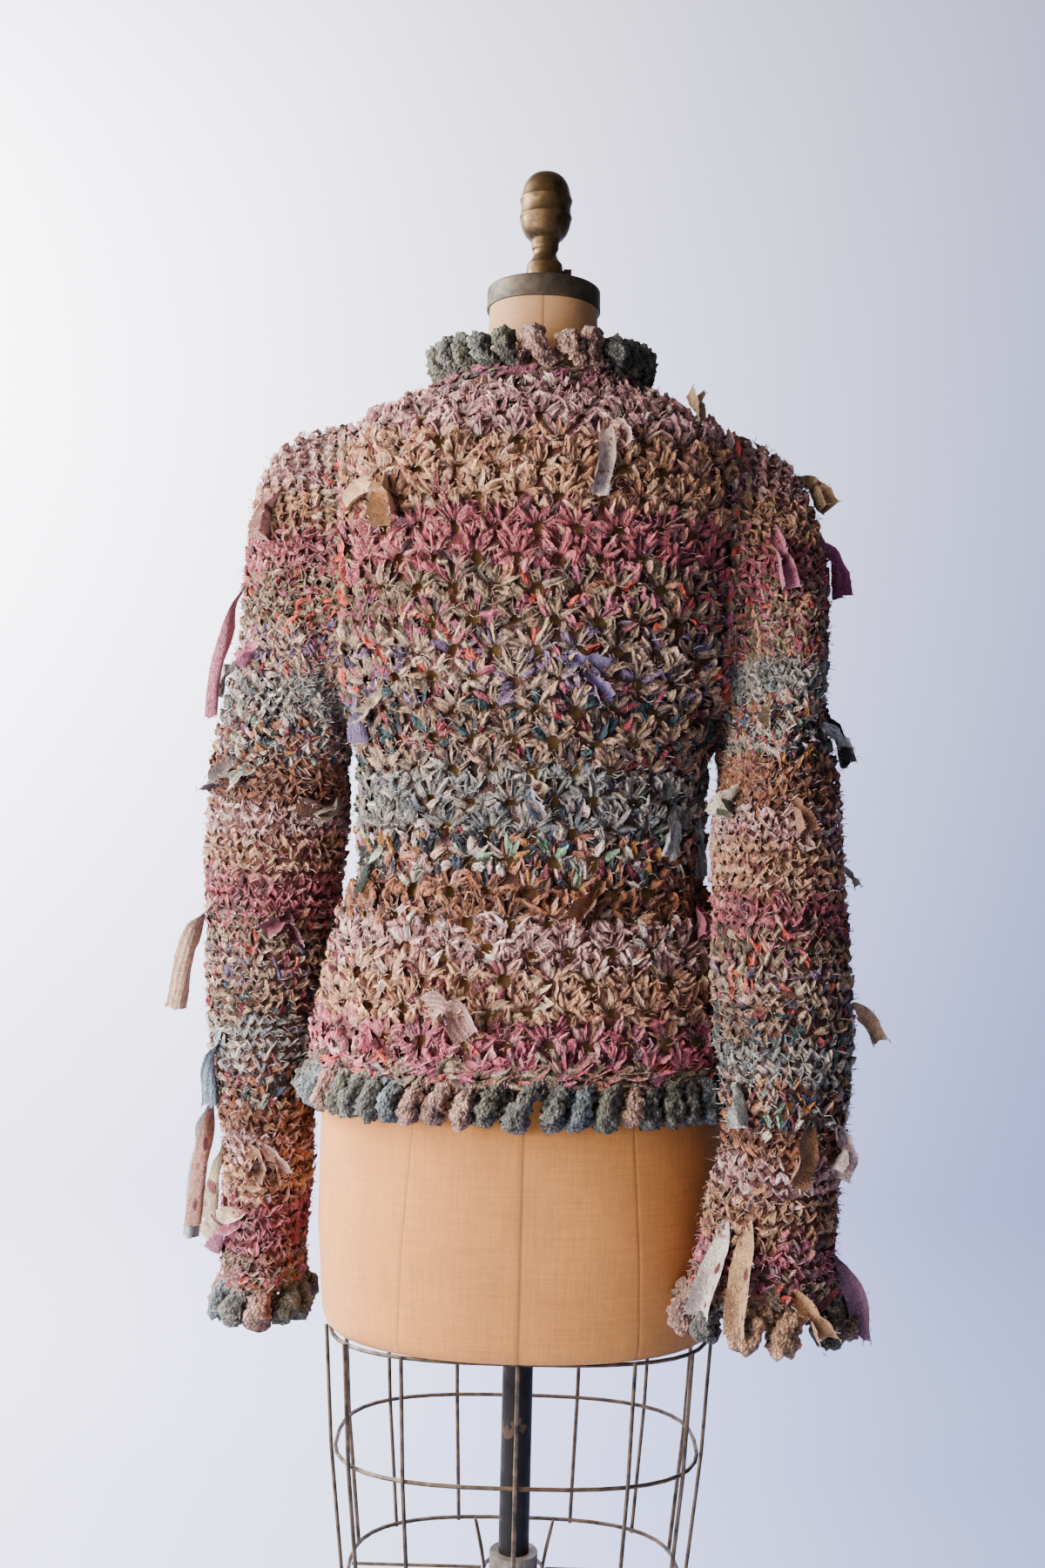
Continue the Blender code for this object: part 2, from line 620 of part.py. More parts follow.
def make_cage(wire):
    upward = np.array([0.0, 0.0, 1.0])
    for number, (z, half_width, half_depth) in enumerate(CAGE_RINGS, start=1):
        turns = np.linspace(0, 2 * math.pi, 3 * CAGE_WIRES, endpoint=False)
        path = [cage_point(half_width, half_depth, turn, z) for turn in turns]
        make_cord(f"cage_ring_{number}", path, [upward] * len(path), WIRE_RADIUS, 5, wire, closed=True)
    reach = WIRE_RADIUS * (1 + math.cos(math.pi / 6)) + WIRE_AIR
    for number in range(CAGE_WIRES):
        angle = 2 * math.pi * number / CAGE_WIRES
        path = []
        for z, half_width, half_depth in CAGE_RINGS:
            out = cage_out(half_width, half_depth, angle, z)
            end = {CAGE_RINGS[0][0]: 0.0018, CAGE_RINGS[2][0]: -0.004}.get(z, 0.0)
            path.append(cage_point(half_width, half_depth, angle, z + end) + out * reach)
        make_cord(f"cage_wire_{number + 1:02d}", path, [out] * 3, WIRE_RADIUS, 6, wire)


def make_cage_hub(wire):
    """The ring that steadies the cage on the pole, with its spokes and the two sprung loops above it."""
    upward = np.array([0.0, 0.0, 1.0])
    z, half_width, half_depth = CAGE_RINGS[2]
    turns = np.linspace(0, 2 * math.pi, 20, endpoint=False)
    path = [np.array([HUB_RADIUS * math.cos(t), HUB_RADIUS * math.sin(t), z]) for t in turns]
    make_cord("cage_hub", path, [upward] * len(path), WIRE_RADIUS, 5, wire, closed=True)
    for number, degrees in enumerate(SPOKE_ANGLES, start=1):
        angle = math.radians(degrees)
        out = cage_out(half_width, half_depth, angle, z)
        tip = cage_point(half_width, half_depth, angle, z) - out * (WIRE_RADIUS + 2 * WIRE_AIR)
        start = unit(np.array([tip[0], tip[1], 0.0])) * (HUB_RADIUS + WIRE_RADIUS + WIRE_AIR)
        start[2] = z
        path = [start, (start + tip) / 2, tip]
        make_cord(f"cage_spoke_{number}", path, [upward] * 3, SPOKE_RADIUS, 6, wire)
    for name, side in (("cage_loop_left", -1), ("cage_loop_right", 1)):
        path = []
        for across, up, sway in LOOP_POINTS:
            path.append(np.array([side * across, sway, z + up]))
        make_cord(name, path, [np.array([side * 0.96, 0.0, -0.28])] * len(path), 0.0011, 5, wire)


def make_stand(black, iron):
    column = ((0, 0), (POLE_RADIUS, 0), (POLE_RADIUS, 0.5740), (0, 0.5740))
    make_turned("column", column, 24, black, (0.0, 0.0, 0.0355))
    make_pipe("lower_tube", TUBE_BORE, TUBE_RADIUS, 0.0345, 0.3985, 24, iron)
    make_pipe("height_collar", TUBE_BORE, COLLAR_RADIUS, 0.3990, 0.4160, 24, iron)
    base = (
        (0, 0), (BASE_RADIUS, 0), (BASE_RADIUS, 0.008), (BASE_RADIUS - 0.004, 0.012),
        (0.120, 0.0190), (0.055, 0.0260), (0.032, 0.0340), (0.0, 0.0340),
    )
    make_turned("base", base, 36, iron)


def main():
    crochet = material("rag_crochet", (0.62, 0.48, 0.42), 0.9)
    trim = material("looped_trim", (0.36, 0.40, 0.46), 0.95)
    rag = material("rag_strip", (0.62, 0.46, 0.38), 0.85)
    linen = material("form_linen", (0.68, 0.55, 0.40), 0.85)
    bronze = material("aged_bronze", (0.30, 0.20, 0.11), 0.45, 0.9)
    wire = material("cage_wire", (0.32, 0.22, 0.14), 0.5, 0.8)
    black = material("black_paint", (0.05, 0.045, 0.04), 0.5)
    iron = material("cast_iron", (0.10, 0.09, 0.085), 0.6, 0.5)
    make_body(crochet)
    make_sleeve("sleeve_right", SLEEVE_RIGHT, 1, crochet)
    make_sleeve("sleeve_left", SLEEVE_LEFT, -1, crochet)
    make_neckband(crochet)
    make_ruffles(trim)
    make_form(linen, bronze, black)
    for name, width, carrier, stations in RAG_TAILS:
        make_rag_tail(name, width, carrier, stations, rag)
    make_cage(wire)
    make_cage_hub(wire)
    make_stand(black, iron)


main()
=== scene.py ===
# %% [markdown]
# A rag-strip crocheted cardigan on an old dress form, seen from behind.
#
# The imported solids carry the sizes. Each piece of crochet below is a thin shell on its solid,
# and thousands of small folded ribbons, one for each stitch, are set on the shell's surface.
# Everything is metres, +Z is up, and the back of the cardigan faces -Y, towards the camera.

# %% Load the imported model
import math

import bpy
import numpy as np
from mathutils import Matrix, Vector


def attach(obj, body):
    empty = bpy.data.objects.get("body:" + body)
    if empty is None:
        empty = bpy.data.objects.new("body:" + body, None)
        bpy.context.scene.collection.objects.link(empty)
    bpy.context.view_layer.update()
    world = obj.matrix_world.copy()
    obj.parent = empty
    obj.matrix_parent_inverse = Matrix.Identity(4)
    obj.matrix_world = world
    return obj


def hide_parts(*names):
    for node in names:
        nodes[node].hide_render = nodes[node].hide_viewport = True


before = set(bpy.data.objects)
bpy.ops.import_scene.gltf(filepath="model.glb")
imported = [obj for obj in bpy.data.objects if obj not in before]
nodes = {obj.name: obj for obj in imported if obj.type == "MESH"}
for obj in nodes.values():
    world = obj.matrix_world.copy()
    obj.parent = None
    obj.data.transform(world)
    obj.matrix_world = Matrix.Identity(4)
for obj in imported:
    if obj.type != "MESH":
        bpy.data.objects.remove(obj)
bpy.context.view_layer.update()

# %% [markdown]
# ## The camera
# The photograph looks straight at the back from a little over chest height. The lens is 36 mm
# on a 36 mm long side, so the picture is as tall as its distance. The camera leans 1.4 degrees,
# because the stand leans that much in the photograph.

# %% Camera
CAMERA_PLACE = (0.0, -1.35, 1.03)
CAMERA_TURN = 0.35
CAMERA_PITCH = 1.59
CAMERA_ROLL = 1.4

camera_data = bpy.data.cameras.new("camera")
camera_data.lens = 36
camera_data.sensor_width = 36
camera_data.sensor_fit = "AUTO"
camera = bpy.data.objects.new("camera", camera_data)
bpy.context.scene.collection.objects.link(camera)
aim = Matrix.Rotation(math.radians(CAMERA_TURN), 4, "Z")
aim = aim @ Matrix.Rotation(math.radians(90 + CAMERA_PITCH), 4, "X")
aim = aim @ Matrix.Rotation(math.radians(CAMERA_ROLL), 4, "Z")
camera.matrix_world = Matrix.Translation(CAMERA_PLACE) @ aim
bpy.context.scene.camera = camera
print("camera", [round(value, 3) for value in camera.location])

# %% [markdown]
# ## Measures of the garment
# These tables are the ones that the solids were made from, so that a stitch set on a table's
# surface sits on the solid. A monotone cubic curve through the rows never overshoots a row.

# %% The tables of the body and the sleeves
CLOTH_THICKNESS = 0.006
FOLD_HEIGHT = 0.0012
SECTION_POWER = 2.2
SEAM_ANGLE = 0.0014
UNDERARM = 1.116
ARMHOLE_X = 0.1572
ARMHOLE_LEAN = 0.0332
HEM = 0.828
NECK_EDGE = 1.398
CUFF_OVERHANG = 0.03

# Height, half width, depth behind, depth in front of the body's inner face.
BODY = (
    (0.8, 0.179, 0.132, 0.122), (0.818, 0.177, 0.1305, 0.1205), (0.8425, 0.1745, 0.1285, 0.1185),
    (0.9, 0.165, 0.119, 0.115), (0.9475, 0.154, 0.106, 0.108), (0.97, 0.145, 0.099, 0.106),
    (0.9925, 0.138, 0.094, 0.104), (1.0225, 0.14, 0.09, 0.102), (1.0825, 0.141, 0.094, 0.107),
    (1.112, 0.148, 0.1, 0.113), (1.135, 0.156, 0.104, 0.117), (1.16, 0.164, 0.108, 0.124),
    (1.2, 0.17, 0.113, 0.133), (1.24, 0.172, 0.116, 0.133), (1.28, 0.172, 0.115, 0.124),
    (1.31, 0.171, 0.112, 0.108), (1.33, 0.169, 0.108, 0.096), (1.345, 0.1655, 0.103, 0.088),
    (1.355, 0.16, 0.098, 0.082), (1.368, 0.144, 0.088, 0.072), (1.38, 0.124, 0.079, 0.064),
    (1.392, 0.101, 0.071, 0.057), (1.398, 0.0915, 0.068, 0.0545), (1.404, 0.0838, 0.0645, 0.053),
    (1.41, 0.08, 0.0625, 0.052), (1.416, 0.0785, 0.0615, 0.0515),
)
# The side by the body (x, z), the outer side (x, z), middle in y, half depth in y.
SLEEVE_RIGHT = (
    (0.1572, 1.116, 0.1657, 1.372, 0.002, 0.064), (0.159, 1.111, 0.194, 1.36, 0.001, 0.066),
    (0.1602, 1.106, 0.22, 1.337, -0.002, 0.067), (0.1608, 1.1, 0.237, 1.298, -0.007, 0.067),
    (0.1608, 1.093, 0.245, 1.25, -0.014, 0.066), (0.1605, 1.085, 0.2445, 1.195, -0.024, 0.063),
    (0.159, 1.073, 0.243, 1.14, -0.035, 0.06), (0.156, 1.056, 0.249, 1.085, -0.048, 0.057),
    (0.152, 1.028, 0.2515, 1.036, -0.06, 0.056), (0.149, 0.99, 0.2535, 0.99, -0.074, 0.055),
    (0.15, 0.94, 0.2555, 0.94, -0.087, 0.053), (0.152, 0.88, 0.2555, 0.88, -0.099, 0.051),
    (0.1565, 0.83, 0.2535, 0.83, -0.108, 0.049), (0.1565, 0.785, 0.25, 0.785, -0.111, 0.049),
    (0.149, 0.745, 0.244, 0.745, -0.108, 0.05), (0.142, 0.708, 0.243, 0.708, -0.109, 0.051),
    (0.132, 0.675, 0.252, 0.675, -0.112, 0.054),
)
SLEEVE_LEFT = (
    (0.1572, 1.116, 0.1657, 1.372, 0.002, 0.064), (0.159, 1.111, 0.203, 1.364, 0.002, 0.066),
    (0.1605, 1.106, 0.233, 1.338, 0.003, 0.067), (0.1615, 1.099, 0.2455, 1.295, 0.004, 0.067),
    (0.162, 1.092, 0.25, 1.245, 0.005, 0.066), (0.1625, 1.084, 0.253, 1.195, 0.008, 0.064),
    (0.163, 1.074, 0.266, 1.143, 0.013, 0.061), (0.163, 1.062, 0.276, 1.095, 0.02, 0.059),
    (0.1625, 1.035, 0.281, 1.04, 0.028, 0.058), (0.165, 0.992, 0.285, 0.992, 0.034, 0.057),
    (0.1705, 0.945, 0.2825, 0.945, 0.041, 0.057), (0.18, 0.885, 0.281, 0.885, 0.049, 0.058),
    (0.186, 0.835, 0.2785, 0.835, 0.055, 0.059), (0.19, 0.772, 0.269, 0.772, 0.056, 0.06),
    (0.1905, 0.725, 0.262, 0.725, 0.056, 0.06), (0.194, 0.67, 0.2625, 0.67, 0.056, 0.059),
    (0.193, 0.63, 0.264, 0.63, 0.056, 0.058),
)
# The linen torso: height, half width, depth behind, depth in front.
TORSO = (
    (0.61, 0.16, 0.112, 0.107), (0.614, 0.164, 0.115, 0.108), (0.625, 0.1672, 0.117, 0.1085),
    (0.66, 0.17, 0.119, 0.109), (0.7, 0.1725, 0.122, 0.11), (0.78, 0.1725, 0.125, 0.112),
    (0.84, 0.1705, 0.124, 0.113), (0.9, 0.16, 0.113, 0.11), (0.96, 0.143, 0.095, 0.102),
    (1.02, 0.131, 0.083, 0.098), (1.08, 0.136, 0.088, 0.102), (1.14, 0.145, 0.1, 0.112),
    (1.2, 0.152, 0.108, 0.128), (1.26, 0.156, 0.112, 0.125), (1.31, 0.157, 0.108, 0.1),
    (1.35, 0.15, 0.095, 0.078), (1.375, 0.1278, 0.0787, 0.0607), (1.395, 0.0938, 0.0657, 0.0507),
    (1.41, 0.065, 0.056, 0.046), (1.43, 0.05, 0.049, 0.045), (1.4766, 0.047, 0.047, 0.047),
)

# %% Reading a table
def read_table(rows, at):
    """The other columns of a table, for many values of its first column at once."""
    table = np.array(rows, float)
    keys, values = table[:, 0], table[:, 1:]
    at = np.clip(np.asarray(at, float), keys[0], keys[-1])
    row = np.clip(np.searchsorted(keys, at, side="right") - 1, 0, len(keys) - 2)
    steps = np.diff(keys)
    slopes = np.diff(values, axis=0) / steps[:, None]
    both = slopes[1:] * slopes[:-1]
    total = slopes[1:] + slopes[:-1]
    middle = np.where(both > 0, 2 * both / np.where(both > 0, total, 1), 0)
    tangents = np.vstack([slopes[:1], middle, slopes[-1:]])
    width = steps[row][..., None]
    s = ((at - keys[row]) / steps[row])[..., None]
    start = values[row] * (1 + 2 * s) * (1 - s) ** 2 + values[row + 1] * s * s * (3 - 2 * s)
    bend = tangents[row] * s * (1 - s) ** 2 - tangents[row + 1] * s * s * (1 - s)
    return start + width * bend


def unit(vectors):
    return vectors / np.maximum(np.linalg.norm(vectors, axis=-1, keepdims=True), 1e-12)

# %% The skin of the body
def section_points(rows, angle, z):
    """Points of level sections: angle 0 is the middle of the back, a quarter turn is the +X side."""
    angle, z = np.broadcast_arrays(np.asarray(angle, float), np.asarray(z, float))
    columns = read_table(rows, z)
    sine, cosine = np.sin(angle), np.cos(angle)
    power = 2 / SECTION_POWER
    depth = np.where(cosine > 0, columns[..., 1], columns[..., 2])
    x = columns[..., 0] * np.sign(sine) * np.abs(sine) ** power
    y = -depth * np.sign(cosine) * np.abs(cosine) ** power
    return np.stack([x, y, z], axis=-1)


def body_skin(angle, z, lift=0.0):
    """Points on the outside of the body's solid, raised by `lift`, and the way they face."""
    inner = section_points(BODY, angle, z)
    across = section_points(BODY, angle + 0.02, z) - section_points(BODY, angle - 0.02, z)
    up = section_points(BODY, angle, z + 0.002) - section_points(BODY, angle, z - 0.002)
    out = unit(np.cross(across, up))
    fold = 0.6 * np.cos(3 * angle) * np.sin(31 * z) + 0.4 * np.cos(5 * angle) * np.sin(47 * z)
    fold = FOLD_HEIGHT * fold
    return inner + out * (CLOTH_THICKNESS + fold + lift)[..., None], out

# %% The skin of a sleeve
def sleeve_points(rows, side, turn, at):
    turn, at = np.broadcast_arrays(np.asarray(turn, float), np.asarray(at, float))
    numbered = [(float(number), *row) for number, row in enumerate(rows)]
    columns = read_table(numbered, at)
    nothing = np.zeros_like(at)
    inner = np.stack([side * columns[..., 0], columns[..., 4], columns[..., 1]], axis=-1)
    outer = np.stack([side * columns[..., 2], columns[..., 4], columns[..., 3]], axis=-1)
    reach = outer - inner
    half = np.linalg.norm(reach, axis=-1) / 2
    fold = FOLD_HEIGHT * np.minimum(1.0, at / 2) * np.sin(2 * turn + 1.9 * at)
    across = ((half + fold) * np.cos(turn))[..., None] * unit(reach)
    along_y = (columns[..., 5] + fold) * np.sin(turn)
    return (inner + outer) / 2 + across + np.stack([nothing, along_y, nothing], axis=-1)


def sleeve_skin(rows, side, turn, at, lift=0.0):
    """Points on the outside of a sleeve: turn 0 is away from the body, -90 degrees faces the camera."""
    turn, at, lift = np.broadcast_arrays(*(np.asarray(value, float) for value in (turn, at, lift)))
    near = np.minimum(at, len(rows) - 1.01)
    point = sleeve_points(rows, side, turn, near)
    around = sleeve_points(rows, side, turn + 0.02, near) - point
    along = sleeve_points(rows, side, turn, near - 0.05) - point
    out = unit(np.cross(around, along))
    middle = (point + sleeve_points(rows, side, turn + math.pi, near)) / 2
    out = out * np.sign(np.sum(out * (point - middle), axis=-1, keepdims=True))
    drop = (at - near) * CUFF_OVERHANG
    point = point - np.stack([0 * drop, 0 * drop, drop], axis=-1)
    return point + out * lift[..., None], out


def armhole_x(z):
    return ARMHOLE_X + (z - UNDERARM) * ARMHOLE_LEAN


print("a point on the middle of the back", body_skin(0.0, np.array([1.2]))[0].round(4))

# %% [markdown]
# ## Dyes and prints
# The garment is worked from torn strips of old printed cotton, so its bands change colour every
# few rows. A band is a list of dyes, each with its share and the way it is printed: plain, with
# woven stripes, or with dots. Every stitch draws one of them.

# %% Palettes
PRINTS = {"plain": 0.0, "striped": 0.5, "dotted": 1.0}
AGED_TINT = np.array([1.18, 0.93, 0.86])  # old cotton has yellowed
SHADE_RANGE = (0.80, 1.25)
TINT_SPREAD = 0.035
BAND_WANDER = 0.0045
random = np.random.default_rng(41)


def dye(hex_colour):
    """A colour as painters write it, turned into Blender's linear values."""
    value = np.array([int(hex_colour[i:i + 2], 16) for i in (0, 2, 4)]) / 255
    return np.where(value <= 0.04045, value / 12.92, ((value + 0.055) / 1.055) ** 2.4)


def read_band(words):
    """The dyes of one band, their shares and their prints."""
    rows = [entry.split() + ["plain"] for entry in words.split(", ")]
    shares = np.array([float(row[1]) for row in rows])
    colours = np.array([dye(row[0]) for row in rows])
    return colours, shares / shares.sum(), np.array([PRINTS[row[2]] for row in rows])


# Each dye is written as its colour, its share, and its print where it has one.
BANDS = {
    "neck_mix": "8A4A66 3, 6B5A48 2, A85A80 2, B08878 2 striped, 4A3A44 1",
    "dusty_pink": (
        "CDA4A4 4 striped, BD8E92 3 striped, E0C4C0 2 striped, 9A6E74 1, E6D2C8 1 striped"
    ),
    "tan_dots": "C79C76 5 dotted, B58A64 3 dotted, D9B690 3, 7C4040 1, E0C4A4 1",
    "rose": "B05A66 4, C06E76 3, 944652 2, D08A8C 2, 5E2E3A 1, CE9A8C 1 striped",
    "olive_mix": (
        "938264 4 striped, 7E7056 3, B8A688 3 striped, DA5A44 1.3, B4607C 2, 5A4A40 1.4, "
        "D8A084 1.4, 8C4650 1.2"
    ),
    "lavender_beige": (
        "C4B096 5, D6C6AC 2, 857499 2, A89682 3 striped, 66567E 1, D2604A 0.5, A65668 1"
    ),
    "teal_crimson": (
        "B89E80 5, 96806A 3 striped, 265058 1.7, 8C2438 1.7, CCB898 2 dotted, 3C2E2C 1.2"
    ),
    "grey_blue": (
        "8C9794 4 striped, AEB2AA 3 striped, 66747A 2.4 striped, D8D4C8 1.3 striped, "
        "B0A290 0.7"
    ),
    # A lighter copy of grey_blue, painted light for the low left sleeve, where the window lights it most.
    "pale_grey": (
        "B0BCBC 4 striped, CCD0C8 3 striped, 8498A0 2 striped, ECE8DC 2 striped, CCB8A0 1.5"
    ),
    "many": (
        "E4DFD4 2.8 striped, 1C1D26 2.8, 86B89C 1, BE8834 1, 741F38 1.4, 3A4B6C 1 dotted, "
        "B47C5C 2, C9A49A 1.5 dotted"
    ),
    "brown": "885638 5, 9C6844 4, 643C28 2, B4805A 2, CCA07C 0.4",
    "pale_pink": "DAB2AE 4 dotted, E6C6C0 3 dotted, C09694 2 striped, EEDCD8 1.5 striped, 9C7270 1",
    "peach": "CDA381 4 dotted, DAB592 4, B88C68 2 dotted, 7C3644 0.8, E6CCB0 1",
    "rose_pink": "B86076 4, CC8090 3, 9C485C 2, D8A2A4 2 striped, 8C6A7C 1",
    "seam_mix": "9A9072 3, D8CAB4 2 striped, DC6A54 1.6, C07490 1.6, C89A80 2 striped, 6E6452 1",
    "hem_mix": "8C8468 3, C4B6A0 2 striped, D9604C 1, BC6488 2, B07A6C 2 striped, 6A6050 1",
}
# Each band is listed with its lowest height. The last one goes down to the edge.
BODY_BANDS = (
    (1.3975, "neck_mix"), (1.349, "dusty_pink"), (1.283, "tan_dots"), (1.237, "rose"),
    (1.186, "olive_mix"), (1.133, "lavender_beige"), (1.08, "teal_crimson"), (1.026, "grey_blue"),
    (0.99, "many"), (0.956, "brown"), (0.92, "pale_pink"), (0.876, "peach"), (0.844, "rose_pink"),
    (0, "hem_mix"),
)
# The left sleeve's band at 0.819 is the lighter, painted-light copy of grey_blue.
LEFT_BANDS = (
    (1.31, "pale_pink"), (1.272, "tan_dots"), (1.237, "rose"), (1.19, "olive_mix"),
    (1.15, "lavender_beige"), (1.118, "grey_blue"), (1.083, "many"), (1.044, "brown"),
    (1.018, "pale_pink"), (0.987, "peach"), (0.952, "rose"), (0.92, "olive_mix"),
    (0.894, "lavender_beige"), (0.861, "teal_crimson"), (0.819, "pale_grey"), (0.786, "many"),
    (0.763, "brown"), (0.74, "pale_pink"), (0.704, "peach"), (0.658, "rose_pink"), (0, "hem_mix"),
)
RIGHT_BANDS = (
    (1.311, "dusty_pink"), (1.269, "tan_dots"), (1.239, "rose"), (1.172, "olive_mix"),
    (1.139, "grey_blue"), (1.089, "many"), (1.051, "brown"), (1.024, "pale_pink"), (0.98, "peach"),
    (0.954, "rose"), (0.93, "olive_mix"), (0.901, "lavender_beige"), (0.871, "teal_crimson"),
    (0.841, "grey_blue"), (0.807, "many"), (0.781, "brown"), (0.754, "pale_pink"),
    (0.72, "tan_dots"), (0.693, "rose_pink"), (0, "hem_mix"),
)


# Each sleeve: its table, its side and its bands.
SLEEVES = {
    "sleeve_right": (SLEEVE_RIGHT, 1, RIGHT_BANDS),
    "sleeve_left": (SLEEVE_LEFT, -1, LEFT_BANDS),
}


def band_of(bands, z):
    """The number of the band at each height. Its edge wanders a little, as stitches do."""
    wander = random.normal(0, BAND_WANDER, np.shape(z))
    floors = np.array([row[0] for row in bands])
    return np.argmax(np.asarray(z)[..., None] + wander[..., None] >= floors, axis=-1)


def draw_dyes(bands, z):
    """A linear colour and a print for every stitch, drawn from the band at its height."""
    band = band_of(bands, z)
    colour = np.zeros((len(z), 3))
    printed = np.zeros(len(z))
    for number, (_, name) in enumerate(bands):
        here = np.flatnonzero(band == number)
        dyes, shares, prints = read_band(BANDS[name])
        drawn = random.choice(len(dyes), len(here), p=shares)
        colour[here], printed[here] = dyes[drawn], prints[drawn]
    shade = random.uniform(*SHADE_RANGE, (len(z), 1)) * AGED_TINT
    tint = random.normal(1.0, TINT_SPREAD, (len(z), 3))
    return np.clip(colour * shade * tint, 0, 1), printed


print("bands", len(BANDS), "dyes", sum(words.count(",") + 1 for words in BANDS.values()))

# %% [markdown]
# ## One mesh from many small grids
# A stitch, a thread and a loop of yarn are each a small grid of points. Thousands of separate
# objects would be slow, so the grids are poured into one mesh. A colour and a print travel with
# each point, and a UV map named strip holds millimetres along and across the ribbon, so that the
# weave follows it.

# %% Pouring grids into a mesh
class Pile:
    """Collects grids of points and makes one mesh of them."""

    def __init__(self):
        self.points, self.colours, self.strips, self.quads = [], [], [], []
        self.count = 0

    def add(self, grids, colour=1.0, printed=0.0, strip=0.0, around=False):
        """grids is (number, along, across, 3). The colour's fourth value is the print."""
        number, along, across = grids.shape[:3]
        index = np.arange(grids.size // 3).reshape(number, along, across) + self.count
        if around:
            index = np.concatenate([index, index[:, :, :1]], axis=2)
        corners = [index[:, :-1, :-1], index[:, :-1, 1:], index[:, 1:, 1:], index[:, 1:, :-1]]
        self.points.append(grids.reshape(-1, 3))
        colour = np.broadcast_to(colour, grids.shape)
        printed = np.broadcast_to(printed, grids.shape[:3])[..., None]
        self.colours.append(np.concatenate([colour, printed], axis=-1).reshape(-1, 4))
        self.strips.append(np.broadcast_to(strip, (*grids.shape[:3], 2)).reshape(-1, 2))
        self.quads.append(np.stack(corners, axis=-1).reshape(-1, 4))
        self.count += grids.size // 3

    def make(self, name, look, keep=None, crisp=False):
        """The piece, of the quads in `keep` if it is given. A crisp piece isn't shaded smooth."""
        quads = np.concatenate(self.quads)
        if keep is not None:
            quads = quads[keep]
        mesh = bpy.data.meshes.new(name)
        mesh.vertices.add(self.count)
        mesh.vertices.foreach_set("co", np.concatenate(self.points).astype(np.float32).ravel())
        mesh.loops.add(quads.size)
        mesh.loops.foreach_set("vertex_index", quads.astype(np.int32).ravel())
        mesh.polygons.add(len(quads))
        mesh.polygons.foreach_set("loop_start", np.arange(0, quads.size, 4, dtype=np.int32))
        mesh.polygons.foreach_set("use_smooth", np.full(len(quads), not crisp))
        mesh.update(calc_edges=True)
        dyes = mesh.color_attributes.new("dye", "FLOAT_COLOR", "POINT")
        dyes.data.foreach_set("color", np.concatenate(self.colours).astype(np.float32).ravel())
        strip = mesh.uv_layers.new(name="strip")
        strip.data.foreach_set("uv", np.concatenate(self.strips)[quads.ravel()].astype(np.float32).ravel())
        mesh.materials.append(look.material)
        piece = bpy.data.objects.new(name, mesh)
        bpy.context.scene.collection.objects.link(piece)
        print(name, "triangles", 2 * len(quads))
        return piece
